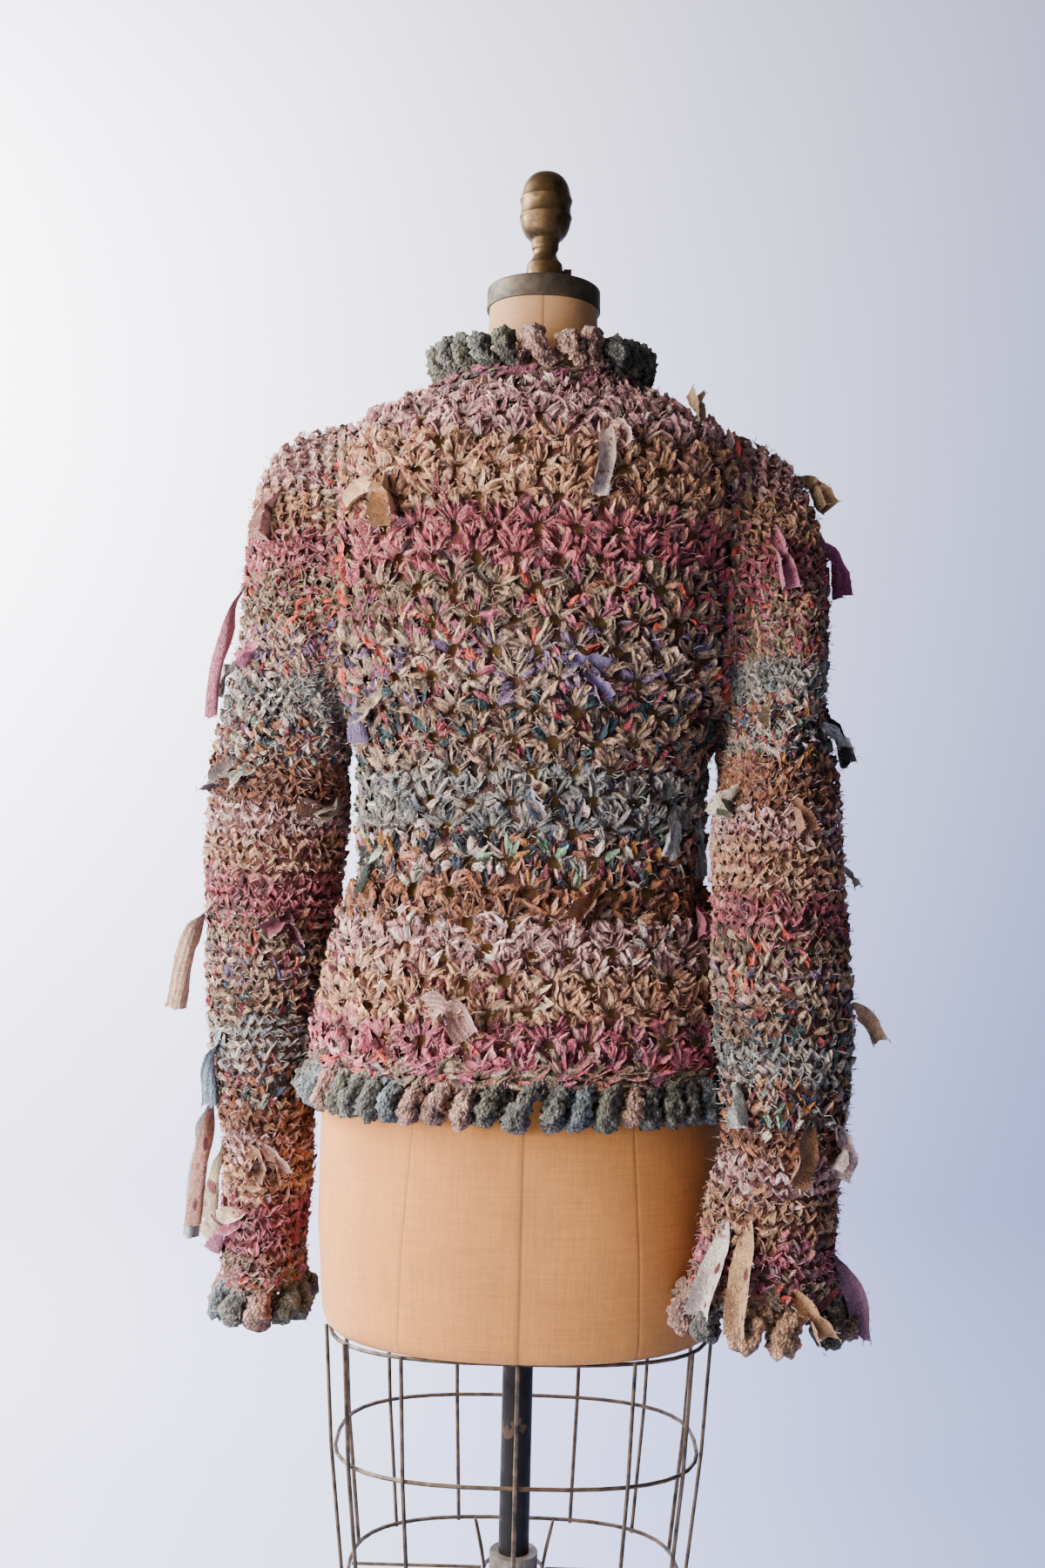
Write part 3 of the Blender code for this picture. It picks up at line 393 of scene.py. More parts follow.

# %% [markdown]
# ## Cloth looks
# Torn cotton has no shine, a fine weave and soft creases. The colour comes from each stitch's own
# dye times the painted shade at its foot and in its folds, and crease lines are painted darker as
# shadow. The print is drawn along the ribbon, so stripes and dots bend with it. Thread size detail
# is bump, because it is finer than the grids.

# %% A helper for materials
class Look:
    """A material with its main shader, and short names for the nodes that are used here."""

    def __init__(self, name, roughness, metallic=0.0, sheen=0.0):
        self.material = bpy.data.materials.new(name)
        self.material.use_nodes = True
        self.tree = self.material.node_tree
        self.shader = self.tree.nodes["Principled BSDF"].inputs
        self.shader["Roughness"].default_value = roughness
        self.shader["Metallic"].default_value = metallic
        self.shader["Sheen Weight"].default_value = sheen
        self.place = self.node("ShaderNodeTexCoord").outputs["Object"]
        self.under = None

    def node(self, kind, links=(), values=(), **settings):
        """Adds a node, sets its options, joins `links` to its inputs and writes `values` into them."""
        node = self.tree.nodes.new(kind)
        for option, value in settings.items():
            setattr(node, option, value)
        for socket, value in values:
            node.inputs[socket].default_value = value
        for socket, source in links:
            self.tree.links.new(source, node.inputs[socket])
        return node

    def own_dye(self):
        """The colour and the print that travel with the mesh."""
        return self.node("ShaderNodeAttribute", attribute_name="dye").outputs

    def strip(self):
        return self.node("ShaderNodeUVMap", uv_map="strip").outputs["UV"]

    def noise(self, scale, detail, roughness, place=None):
        values = [("Scale", scale), ("Detail", detail), ("Roughness", roughness)]
        return self.node("ShaderNodeTexNoise", [("Vector", place or self.place)], values).outputs["Fac"]

    def wave(self, place, scale, direction, distortion=0.0):
        values = [("Scale", scale), ("Distortion", distortion), ("Detail", 2.0)]
        links = [("Vector", place)]
        return self.node("ShaderNodeTexWave", links, values, bands_direction=direction).outputs["Fac"]

    def spots(self, place, scale):
        return self.node("ShaderNodeTexVoronoi", [("Vector", place)], [("Scale", scale)]).outputs["Distance"]

    def ramp(self, source, *stops):
        """A colour ramp. Each stop is a place and a linear colour or a grey value."""
        node = self.node("ShaderNodeValToRGB", [("Fac", source)])
        while len(node.color_ramp.elements) < len(stops):
            node.color_ramp.elements.new(0.5)
        for element, (place, colour) in zip(node.color_ramp.elements, stops):
            element.position = place
            element.color = (*((colour,) * 3 if isinstance(colour, float) else colour), 1.0)
        return node.outputs["Color"]

    def mix(self, factor, first, second, blend="MIX"):
        """Mixes two colours. A factor or a colour may be a socket or a value."""
        node = self.node("ShaderNodeMix", data_type="RGBA", blend_type=blend)
        for socket, value in ((0, factor), (6, first), (7, second)):
            if isinstance(value, bpy.types.NodeSocket):
                self.tree.links.new(value, node.inputs[socket])
            else:
                node.inputs[socket].default_value = value if socket == 0 else (*value, 1.0)
        return node.outputs[2]

    def shade(self, amount, colour, source, *stops):
        """Darkens and lightens a colour by a ramp over a texture."""
        return self.mix(amount, colour, self.ramp(source, *stops), "MULTIPLY")

    def calculate(self, operation, *terms):
        node = self.node("ShaderNodeMath", operation=operation)
        for socket, value in enumerate(terms):
            if isinstance(value, bpy.types.NodeSocket):
                self.tree.links.new(value, node.inputs[socket])
            else:
                node.inputs[socket].default_value = value
        return node.outputs[0]

    def paint(self, colour, socket="Base Color"):
        self.tree.links.new(colour, self.shader[socket])

    def bump(self, height, strength, distance):
        """Each bump is laid over the one before it."""
        links = [("Height", height)] + ([("Normal", self.under)] if self.under else [])
        values = [("Strength", strength), ("Distance", distance)]
        self.under = self.node("ShaderNodeBump", links, values).outputs["Normal"]
        self.paint(self.under, "Normal")


# %% The look of torn rag strip
THREAD_SCALE = 0.42  # of the wave texture, for threads three quarters of a millimetre apart
STRIPE_SCALE = 0.085
DOT_PITCH = 0.13
DOT_DYE = "6A2A30"
PRINT_MATCH = 0.1

rag_look = Look("rag_strip_cotton", 0.88, sheen=0.12)
# The dye attribute carries each stitch's dye with its painted shade already multiplied in.
rag_dye_and_painted_shade, strip_place = rag_look.own_dye(), rag_look.strip()


def has_print(name):
    return rag_look.calculate("COMPARE", rag_dye_and_painted_shade["Alpha"], PRINTS[name], PRINT_MATCH)


stripe_wave = rag_look.wave(strip_place, STRIPE_SCALE, "X", 3.0)
stripe_light = rag_look.ramp(stripe_wave, (0.0, 0.55), (0.42, 0.90), (0.62, 1.0), (0.9, 1.30))
stripe_amount = rag_look.calculate("MULTIPLY", has_print("striped"), 0.75)
dot_mask = rag_look.ramp(rag_look.spots(strip_place, DOT_PITCH), (0.24, 1.0), (0.34, 0.0))
dot_amount = rag_look.calculate("MULTIPLY", has_print("dotted"), dot_mask)
colour = rag_look.mix(stripe_amount, rag_dye_and_painted_shade["Color"], stripe_light, "MULTIPLY")
colour = rag_look.mix(dot_amount, colour, dye(DOT_DYE))

# %% Mottle, creases and weave of the rag strip
mottle = rag_look.noise(170.0, 4.0, 0.7)
crumple = rag_look.noise(330.0, 3.0, 0.55)
crease = rag_look.calculate("ABSOLUTE", rag_look.calculate("SUBTRACT", crumple, 0.5))
weave = rag_look.calculate("MULTIPLY", *(rag_look.wave(strip_place, THREAD_SCALE, way) for way in "YX"))
colour = rag_look.shade(0.9, colour, mottle, (0.30, 0.55), (0.70, 1.40))
# Painted shadow: the crease lines are darkened in the colour as well as bumped.
colour = rag_look.shade(0.65, colour, crease, (0.0, 0.30), (0.035, 0.80), (0.09, 1.0))
colour = rag_look.shade(0.30, colour, weave, (0.0, 0.78), (0.6, 1.2))
rag_look.paint(colour)
rag_look.bump(weave, 0.2, 0.0004)
rag_look.bump(crease, 0.9, 0.0060)
rag_look.bump(mottle, 0.7, 0.0030)
print("rag cotton nodes", len(rag_look.tree.nodes))

# %% [markdown]
# ## The net behind the stitches
# Crochet has a back as well as a front. A thin shell on the outside of each solid stands for the
# body of the cloth, so no gap shows an empty inside, and it is what the garment's real cut is
# measured on. Small holes are left where a shell of stitches starts, as in the real thing.

# %% Where shells and holes go on the body
SHELL_WIDTH = 0.033
SHELL_ROW = 0.0243
FOOT_WANDER = (0.0012, 0.0010)  # along the row, and up
HOLE_RADII = (0.0038, 0.0074)
ARMHOLE_GAP = 0.0006
NET_DROP = 0.0022
# Painted shade: the net's band dyes are darkened to a warm brown, for the shade in the gaps between stitches.
NET_PAINTED_SHADE = np.array([0.26, 0.15, 0.13])


def armhole_angles(z, front):
    """The angle at which a panel of the body stops: its side seam, or where the armhole cuts it."""
    z = np.asarray(z, float)
    near = np.full(z.shape, math.radians(135) if front else math.radians(45))
    far = np.full(z.shape, math.pi / 2)
    inside = body_skin(far, z)[0][..., 0] > armhole_x(z) - ARMHOLE_GAP
    for _ in range(24):
        middle = (near + far) / 2
        over = body_skin(middle, z)[0][..., 0] > armhole_x(z) - ARMHOLE_GAP
        far = np.where(over, middle, far)
        near = np.where(over, near, middle)
    cut = inside & (z > UNDERARM - 0.01)
    return np.where(cut, near, math.pi / 2)


def lengths_along(points):
    """How far each point of a line is from its first one."""
    return np.concatenate([[0], np.cumsum(np.linalg.norm(np.diff(points, axis=0), axis=1))])


def meridian(angle, low, high, count=400):
    """Heights evenly spaced along the cloth from `low` to `high`, as a table of length to height."""
    z = np.linspace(low, high, count)
    return lengths_along(body_skin(angle, z)[0]), z


body_length, body_z = meridian(0.45, HEM, NECK_EDGE)
BODY_ROWS = int(body_length[-1] / SHELL_ROW)


def row_height(row):
    return np.interp((row + 0.35) * SHELL_ROW, body_length, body_z)

# %% The feet of the shells
def level_line(z):
    """Angles and lengths along one level of the back, from its middle to its side."""
    angles = np.linspace(0, math.pi, 361)
    return angles, lengths_along(body_skin(angles, z)[0])


def shell_feet():
    """The angle and height of the foot of every shell, all round the body."""
    angles, heights = [], []
    for row in range(BODY_ROWS):
        z = row_height(row)
        turns, lengths = level_line(z)
        half = lengths[-1]
        count = int(round(2 * half / SHELL_WIDTH))
        for number in range(count):
            place = (number + 0.5 * (row % 2)) * 2 * half / count
            place += random.normal(0, FOOT_WANDER[0])
            side = 1 if place < half else -1
            along = place if place < half else 2 * half - place
            angles.append(side * np.interp(along, lengths, turns))
            heights.append(z + random.normal(0, FOOT_WANDER[1]))
    return np.array(angles), np.array(heights)


foot_angles, foot_heights = shell_feet()
foot_points = body_skin(foot_angles, foot_heights)[0]
foot_radii = random.uniform(*HOLE_RADII, len(foot_angles))
print("rows of shells", BODY_ROWS, "shells", len(foot_angles))
print("length of the back", round(body_length[-1], 3))

# %% Nets of the body
NET_ROWS, NET_CELL = 128, 5.0  # rows from hem to neck, and a cell's size on the strip map in mm


def pour_net(name, points, bands, limit=None, around=False):
    """One thin shell. Cells closer to a shell's foot than the hole's radius are left out."""
    pile = Pile()
    flat = points.reshape(-1, 3)
    rows, columns = points.shape[:2]
    strip = np.stack(np.meshgrid(np.arange(columns) * NET_CELL, np.arange(rows) * NET_CELL), axis=-1)
    # The net's colour is its band's dye darkened by the painted shade.
    colour = NET_PAINTED_SHADE * draw_dyes(bands, flat[:, 2])[0].reshape(1, rows, columns, 3)
    pile.add(points[None], colour, strip=strip[None], around=around)
    quads = np.concatenate(pile.quads)
    keep = None
    if limit is not None:
        centres = flat[quads].mean(axis=1)
        gaps = np.full(len(centres), 1.0)
        for foot, radius in zip(limit, foot_radii):
            gaps = np.minimum(gaps, np.sum((centres - foot) ** 2, axis=1) - radius ** 2)
        keep = gaps > 0
    return pile.make(name, rag_look, keep)


def body_net(name, start, end, columns):
    z = np.linspace(HEM, NECK_EDGE, NET_ROWS)[:, None]
    share = np.linspace(0, 1, columns + 1)[None, :]
    points = body_skin(start(z) * (1 - share) + end(z) * share, z, -NET_DROP)[0]
    return pour_net(name, points, BODY_BANDS, foot_points)


def back_edge(z):
    return armhole_angles(z, False) - SEAM_ANGLE


def front_edge(z):
    return armhole_angles(z, True) + SEAM_ANGLE


def centre_front(z):
    return math.pi - SEAM_ANGLE + 0 * z


nets = {
    "back": body_net("back_net", lambda z: -back_edge(z), back_edge, 100),
    "front_right": body_net("front_right_net", front_edge, centre_front, 50),
    "front_left": body_net("front_left_net", lambda z: -centre_front(z), lambda z: -front_edge(z), 50),
}

# %% Nets of the sleeves and the neckband
NECKBAND_EDGES = (1.3985, 1.4095)


def sleeve_net(name, rows, side, bands):
    at = np.linspace(0, len(rows) - 1, 150)[:, None]
    turn = np.linspace(0, 2 * math.pi, 60, endpoint=False)[None, :]
    points = sleeve_skin(rows, side, turn, np.minimum(at, len(rows) - 1.011), -NET_DROP)[0]
    return pour_net(name, points, bands, around=True)


for name, sleeve in SLEEVES.items():
    nets[name] = sleeve_net(name + "_net", *sleeve)
neck_turns = np.linspace(-math.pi + SEAM_ANGLE, math.pi - SEAM_ANGLE, 150)[None, :]
neck_heights = np.linspace(*NECKBAND_EDGES, 5)[:, None]
nets["neckband"] = pour_net("neckband_net", body_skin(neck_turns, neck_heights, -NET_DROP)[0], BODY_BANDS)

# %% [markdown]
# ## Stitches
# On the body each shell is a fan of six stitches that spring from one foot, and the next row's
# feet sit half a shell along. The strip is folded as it is pulled through, so a stitch is a pleated
# leaf: narrow at its foot, wide and open at its tip, a little twisted and crumpled. On the sleeves
# the stitches are short and packed. Both are the same small grid with other measures.

# %% The folded ribbon of a stitch
FINE_GRID = (6, 5)
PLAIN_GRID = (5, 4)


def folded_leaves(foot, along, across, out, length, width, lift, pleat, crumple, cells):
    """Pleated ribbons from each foot. Every argument has one value or vector for each ribbon."""
    count = len(foot)
    t = np.linspace(0, 1, cells[0])[None, :, None]
    s = np.linspace(-1, 1, cells[1])[None, None, :]

    def each(low, high):
        return random.uniform(low, high, (count, 1, 1))

    length, width, lift = (value[:, None, None] for value in (length, width, lift))
    half = width * (0.60 + 0.40 * np.sin(np.pi * (each(0.05, 0.2) + each(0.55, 0.80) * t)))
    folds = np.abs((s * each(0.7, 1.7) + each(0, 2) + each(-0.4, 0.4) * t) % 2 - 1) * 2 - 1
    sideways = half * s * (1 - 0.22 * np.abs(folds))
    height = lift * np.sin(np.pi * (0.06 + each(0.50, 0.92) * t)) * (1 - 0.45 * s * s)
    height = height + pleat * each(0.5, 1.5) * folds * (0.45 + 0.8 * t)
    twist = each(-1.25, 1.25) * t + each(-0.3, 0.3)
    height = height + sideways * np.sin(twist)
    sideways = sideways * np.cos(twist) + each(-0.22, 0.22) * length * t * t
    forward = length * (t + each(-0.22, 0.22) * s * t + 0.12 * folds * t * t)
    shape = (count, *cells)
    height = height + random.normal(0, crumple, shape)
    sideways = sideways + random.normal(0, 0.7 * crumple, shape)
    forward = forward + random.normal(0, 0.7 * crumple, shape) * (t > 0)
    grid = foot[:, None, None] + forward[..., None] * along[:, None, None]
    grid = grid + sideways[..., None] * across[:, None, None] + height[..., None] * out[:, None, None]
    # Painted shade: each ribbon's colour is darkened towards its foot and in its pleat valleys, and lightened
    # where it rises.
    raised = np.clip((height - 0.0002) / 0.0038, 0, 1)
    shade = (0.24 + 0.88 * raised) * (0.88 + 0.12 * folds)
    strip = np.broadcast_arrays(1000 * width * s + each(0, 90), 1000 * length * t + each(0, 90))
    return grid, shade[..., None], np.stack(strip, axis=-1)


def heads(up, across, heading):
    """The way that is `heading` radians from `up` towards `across`."""
    return up * np.cos(heading)[:, None] + across * np.sin(heading)[:, None]


def body_frame(angle, z):
    """Foot, the way up the cloth, the way across it, and the way it faces."""
    foot, out = body_skin(angle, z)
    above = body_skin(angle, z + 0.002)[0]
    up = unit(above - foot)
    return foot, up, np.cross(up, out), out


def add_leaves(pile, bands, frame_of, heading, size, pleat, crumple, cells=FINE_GRID):
    """Pours stitches that head off at an angle from the way up. `size` is length, width and lift."""
    foot, up, across, out = frame_of
    length, width, lift = size
    colour, printed = draw_dyes(bands, foot[:, 2] + 0.5 * length * np.cos(heading))
    along, beside = heads(up, across, heading), heads(across, -up, heading)
    grid, shade, strip = folded_leaves(foot, along, beside, out, length, width, lift, pleat, crumple, cells)
    # The dye is multiplied by each ribbon's painted shade.
    pile.add(grid, colour[:, None, None] * shade, printed[:, None, None], strip)

# %% Stitches of the body
LEAVES = 6
ROW_KNOTS = 6
FAN = math.radians(66)
FAN_OPEN = 0.0050
FAN_SEAT = 0.0016
FAN_WIDTHS, FAN_LIFTS = (0.0034, 0.0052), (0.0018, 0.0046)
FAN_FOLDS = (0.0019, 0.00052)  # how deep a stitch is pleated, and how much it is crumpled
KNOT_LENGTHS, KNOT_WIDTHS, KNOT_LIFTS = (0.0085, 0.0135), (0.0032, 0.0050), (0.0022, 0.0050)
KNOT_FOLDS = (0.0018, 0.00055)


def in_panel(angle, z, front):
    """Whether a place is on the back or the fronts, clear of the armholes."""
    limit = armhole_angles(z, front)
    if front:
        return np.abs(angle) > limit
    return np.abs(angle) <= limit


def body_stitches(front, side=0):
    """The fans of one panel, and the row of knots that each fan's tips are caught in."""
    chosen = in_panel(foot_angles, foot_heights, front)
    if side:
        chosen &= np.sign(foot_angles) == side
    angle = np.repeat(foot_angles[chosen], LEAVES)
    z = np.repeat(foot_heights[chosen], LEAVES)
    foot, up, across, out = body_frame(angle, z)
    share = np.tile(np.linspace(-1, 1, LEAVES), chosen.sum())
    count = len(z)
    heading = share * FAN + random.normal(0, 0.15, count)
    length = SHELL_ROW * (0.74 - 0.12 * np.abs(share)) * random.uniform(0.80, 1.15, count)
    width, lift = random.uniform(*FAN_WIDTHS, count), random.uniform(*FAN_LIFTS, count)
    foot = foot + heads(up, across, heading) * FAN_OPEN - out * FAN_SEAT
    pile = Pile()
    add_leaves(pile, BODY_BANDS, (foot, up, across, out), heading, (length, width, lift), *FAN_FOLDS)

    angle = np.repeat(foot_angles[chosen], ROW_KNOTS)
    z = np.repeat(foot_heights[chosen], ROW_KNOTS)
    foot, up, across, out = body_frame(angle, z)
    share = np.tile(np.linspace(-1, 1, ROW_KNOTS), chosen.sum())
    count = len(z)
    aside = share * 0.33 * SHELL_WIDTH + random.normal(0, 0.0012, count)
    above = SHELL_ROW * (0.95 - 0.24 * share ** 2) + random.normal(0, 0.0016, count)
    foot = foot + across * aside[:, None] + up * above[:, None] + out * 0.0004
    heading = random.normal(0, 0.9, count)
    length = random.uniform(*KNOT_LENGTHS, count)
    width, lift = random.uniform(*KNOT_WIDTHS, count), random.uniform(*KNOT_LIFTS, count)
    foot = foot - heads(up, across, heading) * (0.5 * length)[:, None]
    inside = (foot[:, 2] > HEM + 0.004) & (foot[:, 2] < NECK_EDGE - 0.002)
    kept = [value[inside] for value in (foot, up, across, out, heading, length, width, lift)]
    add_leaves(pile, BODY_BANDS, kept[:4], kept[4], kept[5:], *KNOT_FOLDS)
    return pile


piles = {
    "back": body_stitches(False),
    "front_right": body_stitches(True, 1),
    "front_left": body_stitches(True, -1),
}

# %% Stitches of the sleeves
SLEEVE_ROW = 0.0102
SLEEVE_PITCH = 0.0088
SLEEVE_LENGTHS, SLEEVE_WIDTHS, SLEEVE_LIFTS = (0.0080, 0.0125), (0.0023, 0.0038), (0.0014, 0.0042)
SLEEVE_FOLDS = (0.0015, 0.00045)
LEG_LEAN = 0.72
CUFF_STOP = 1.02  # the last stitches end this many rows before the table does


def sleeve_frame(rows, side, turn, at):
    """Foot, the way up the sleeve, the way round it, and the way it faces."""
    foot, out = sleeve_skin(rows, side, turn, at)
    above = sleeve_skin(rows, side, turn, at - 0.06)[0]
    up = unit(above - foot)
    up = unit(up - out * np.sum(up * out, axis=-1, keepdims=True))
    return foot, up, np.cross(up, out), out


def sleeve_feet(rows, side):
    """Turn and row number of each stitch, evenly spaced along and round the sleeve."""
    at = np.linspace(0.12, len(rows) - CUFF_STOP, 400)
    lines = [sleeve_skin(rows, side, turn, at)[0] for turn in (-math.pi / 2, math.pi / 2, 0.0)]
    steps = np.mean([np.linalg.norm(np.diff(line, axis=0), axis=1) for line in lines], axis=0)
    length = np.concatenate([[0], np.cumsum(steps)])
    count = int(length[-1] / SLEEVE_ROW)
    turns, places = [], []
    for row in range(count):
        here = np.interp((row + 0.5) * length[-1] / count, length, at)
        ring_turns = np.linspace(0, 2 * math.pi, 181)
        around = lengths_along(sleeve_skin(rows, side, ring_turns, here)[0])
        stitches = int(around[-1] / SLEEVE_PITCH)
        spots = (np.arange(stitches) + 0.5 * (row % 2)) * around[-1] / stitches
        turns.append(np.interp(spots, around, ring_turns))
        places.append(np.full(stitches, here))
    print("rows on the sleeve", count, "length", round(length[-1], 3))
    return np.concatenate(turns), np.concatenate(places)


def sleeve_stitches(rows, side, bands):
    """Two short folded ribbons lean apart from each foot, like the two legs of a stitch."""
    turn, at = sleeve_feet(rows, side)
    lean = np.tile([-1.0, 1.0], len(turn))
    turn, at = np.repeat(turn, 2), np.repeat(at, 2)
    count = len(turn)
    at = np.clip(at + random.normal(0, 0.014, count), 0.1, len(rows) - CUFF_STOP)
    foot, up, across, out = sleeve_frame(rows, side, turn, at)
    heading = LEG_LEAN * lean + random.normal(0, 0.27, count)
    length = random.uniform(*SLEEVE_LENGTHS, count)
    width, lift = random.uniform(*SLEEVE_WIDTHS, count), random.uniform(*SLEEVE_LIFTS, count)
    foot = foot - heads(up, across, heading) * 0.0040 - up * 0.0030
    foot = foot + across * (lean * 0.0012)[:, None] - out * 0.0010
    pile, frame_of = Pile(), (foot, up, across, out)
    add_leaves(pile, bands, frame_of, heading, (length, width, lift), *SLEEVE_FOLDS, PLAIN_GRID)
    return pile


for name, sleeve in SLEEVES.items():
    piles[name] = sleeve_stitches(*sleeve)
print("points of the stitches", {name: pile.count for name, pile in piles.items()})

# %% [markdown]
# ## Seams, neckband and hem rows
# A row of small mixed knots runs along each armhole, where the sleeve was crocheted on. The
# neckband and the last rows at the hem are worked flat, so their stitches lie along the edge.

# %% Knots along the edges
NECK_MIX, SEAM_MIX, HEM_MIX = (((0.0, name),) for name in ("neck_mix", "seam_mix", "hem_mix"))
EDGE_LENGTHS, EDGE_WIDTHS, EDGE_LIFTS = (0.0120, 0.0170), (0.0034, 0.0052), (0.0014, 0.0036)
EDGE_FOLDS = (0.0014, 0.00045)


def edge_knots(pile, band, frame_of, heading, size=1.0):
    """Flat stitches that lie along an edge."""
    foot, up, across, out = frame_of
    count = len(foot)
    heading = heading + random.normal(0, 0.35, count)
    length = size * random.uniform(*EDGE_LENGTHS, count)
    width = size * random.uniform(*EDGE_WIDTHS, count)
    foot = foot - heads(up, across, heading) * (0.4 * length)[:, None] - out * 0.0010
    lift = random.uniform(*EDGE_LIFTS, count)
    add_leaves(pile, band, (foot, up, across, out), heading, (length, width, lift), *EDGE_FOLDS)

# %% Knots along the armholes
ARMHOLE_KNOTS = 64
ARMHOLE_ROWS = (0.14, 0.42)
RIDGE_INSETS = (0.0030, 0.0085)
RIDGE_PITCH, RIDGE_TOP = 0.0078, 1.360
RIDGE_LENGTHS, RIDGE_WIDTHS, RIDGE_LIFTS = (0.0100, 0.0150), (0.0032, 0.0048), (0.0036, 0.0060)
RIDGE_FOLDS = (0.0018, 0.0005)


def armhole_knots(pile, rows, side):
    turn = np.linspace(0, 2 * math.pi, ARMHOLE_KNOTS, endpoint=False)
    for at in ARMHOLE_ROWS:
        edge_knots(pile, HEM_MIX, sleeve_frame(rows, side, turn + at, at), 0.9)


def armhole_ridge(pile, front, side):
    """Two raised columns of mixed knots on the body, beside the armhole."""
    for inset in RIDGE_INSETS:
        z = np.arange(UNDERARM - 0.012, RIDGE_TOP, RIDGE_PITCH)
        radius = np.linalg.norm(body_skin(armhole_angles(z, front), z)[0][:, :2], axis=1)
        inward = inset / radius * (1 if front else -1)
        angle = side * (armhole_angles(z, front) + inward)
        z = z + random.normal(0, 0.0012, len(z))
        foot, up, across, out = body_frame(angle, z)
        count = len(z)
        heading = random.normal(0, 0.55, count)
        length = random.uniform(*RIDGE_LENGTHS, count)
        foot = foot - heads(up, across, heading) * (0.5 * length)[:, None] + out * 0.0012
        width, lift = random.uniform(*RIDGE_WIDTHS, count), random.uniform(*RIDGE_LIFTS, count)
        add_leaves(pile, SEAM_MIX, (foot, up, across, out), heading, (length, width, lift), *RIDGE_FOLDS)


for name, front, side in (
    ("back", False, -1), ("back", False, 1), ("front_right", True, 1), ("front_left", True, -1),
):
    armhole_ridge(piles[name], front, side)
for name, (rows, side, _) in SLEEVES.items():
    armhole_knots(piles[name], rows, side)

# %% Level rows at the hem, the neck and the cuffs
def level_knots(pile, bands, start, end, z, pitch, size=1.0):
    """A row of flat stitches that lie along one level of the body."""
    turns = np.linspace(start, end, 200)
    length = lengths_along(body_skin(turns, z)[0])
    count = max(2, int(length[-1] / pitch))
    angle = np.interp((np.arange(count) + 0.5) * length[-1] / count, length, turns)
    edge_knots(pile, bands, body_frame(angle, z + random.normal(0, 0.0008, count)), 1.35, size)


HEM_LEVELS, HEM_PITCH = (0.8310, 0.8375, 0.8440), 0.0095
NECK_LEVELS, NECK_PITCH = (1.3995, 1.4035, 1.4078), 0.0085
PANEL_ENDS = (("back", -1.565, 1.565), ("front_right", 1.58, 3.13), ("front_left", -3.13, -1.58))
for hem_level in HEM_LEVELS:
    for name, start, end in PANEL_ENDS:
        level_knots(piles[name], BODY_BANDS, start, end, hem_level, HEM_PITCH)
neck_pile = Pile()
for neck_level in NECK_LEVELS:
    level_knots(neck_pile, NECK_MIX, -3.13, 3.13, neck_level, NECK_PITCH, 0.8)
CUFF_KNOTS, CUFF_ROWS = 34, (15.98, 15.81)
cuff_turns = np.linspace(0, 2 * math.pi, CUFF_KNOTS, endpoint=False)
for cuff_row in CUFF_ROWS:
    for name, (rows, side, _) in SLEEVES.items():
        edge_knots(piles[name], HEM_MIX, sleeve_frame(rows, side, cuff_turns, cuff_row), 1.3)

# %% [markdown]
# ## Frayed threads
# Torn cotton frays, so loose threads stand off the cloth everywhere and soften its outline. Each
# is a very narrow ribbon of two cells, bent once, and coloured by the band that it grows from.

# %% Threads
THREAD_WIDTH = 0.00034
PALE_THREAD = 0.62  # frayed ends bleach towards this grey
SLEEVE_THREADS = 7000
# The panel, whether it is a front, its angles and its threads.
PANEL_THREADS = (
    ("back", False, -1.57, 1.57, 6400), ("front_right", True, 1.57, 3.13, 2400),
    ("front_left", True, -3.13, -1.57, 2400),
)


def add_threads(pile, bands, foot, up, across, out, longest=0.013):
    """Loose threads, each a foot, a knee and a tip."""
    count = len(foot)
    colour = draw_dyes(bands, foot[:, 2])[0]
    pale = random.uniform(0.0, 0.45, (count, 1))
    colour = colour * (1 - pale) + PALE_THREAD * pale
    turn = random.uniform(0, 2 * math.pi, count)
    level = heads(up, across, turn)
    rise = random.uniform(0.1, 0.9, (count, 1))
    length = random.uniform(0.35, 1.0, (count, 1)) * longest
    start = foot + out * 0.0010
    knee = start + (level * (1 - rise) + out * rise) * length * 0.55
    tip = knee + (unit(level + random.normal(0, 0.8, (count, 3)))) * length * 0.45
    path = np.stack([start, knee, tip], axis=1)
    side = unit(np.cross(tip - start, out)) * THREAD_WIDTH
    grid = np.stack([path - side[:, None], path + side[:, None]], axis=2)
    grid[:, 2] = path[:, 2][:, None] + side[:, None] * np.array([-0.3, 0.3])[None, :, None]
    pile.add(grid, colour[:, None, None])


def body_threads(pile, front, low, high, count):
    angle = random.uniform(low, high, count)
    z = random.uniform(HEM, NECK_EDGE, count)
    inside = in_panel(angle, z, front)
    add_threads(pile, BODY_BANDS, *body_frame(angle[inside], z[inside]))


def sleeve_threads(pile, rows, side, bands, count):
    turn = random.uniform(0, 2 * math.pi, count)
    at = random.uniform(0.1, len(rows) - CUFF_STOP, count)
    add_threads(pile, bands, *sleeve_frame(rows, side, turn, at))


for name, front, low, high, count in PANEL_THREADS:
    body_threads(piles[name], front, low, high, count)
for name, sleeve in SLEEVES.items():
    sleeve_threads(piles[name], *sleeve, SLEEVE_THREADS)

# %% Stitches become pieces
stitches = {}
for name, pile in piles.items():
    kind = "_knot_stitches" if name in SLEEVES else "_shell_stitches"
    stitches[name] = pile.make(name + kind, rag_look, crisp=True)
stitches["neckband"] = neck_pile.make("neckband_stitches", rag_look, crisp=True)

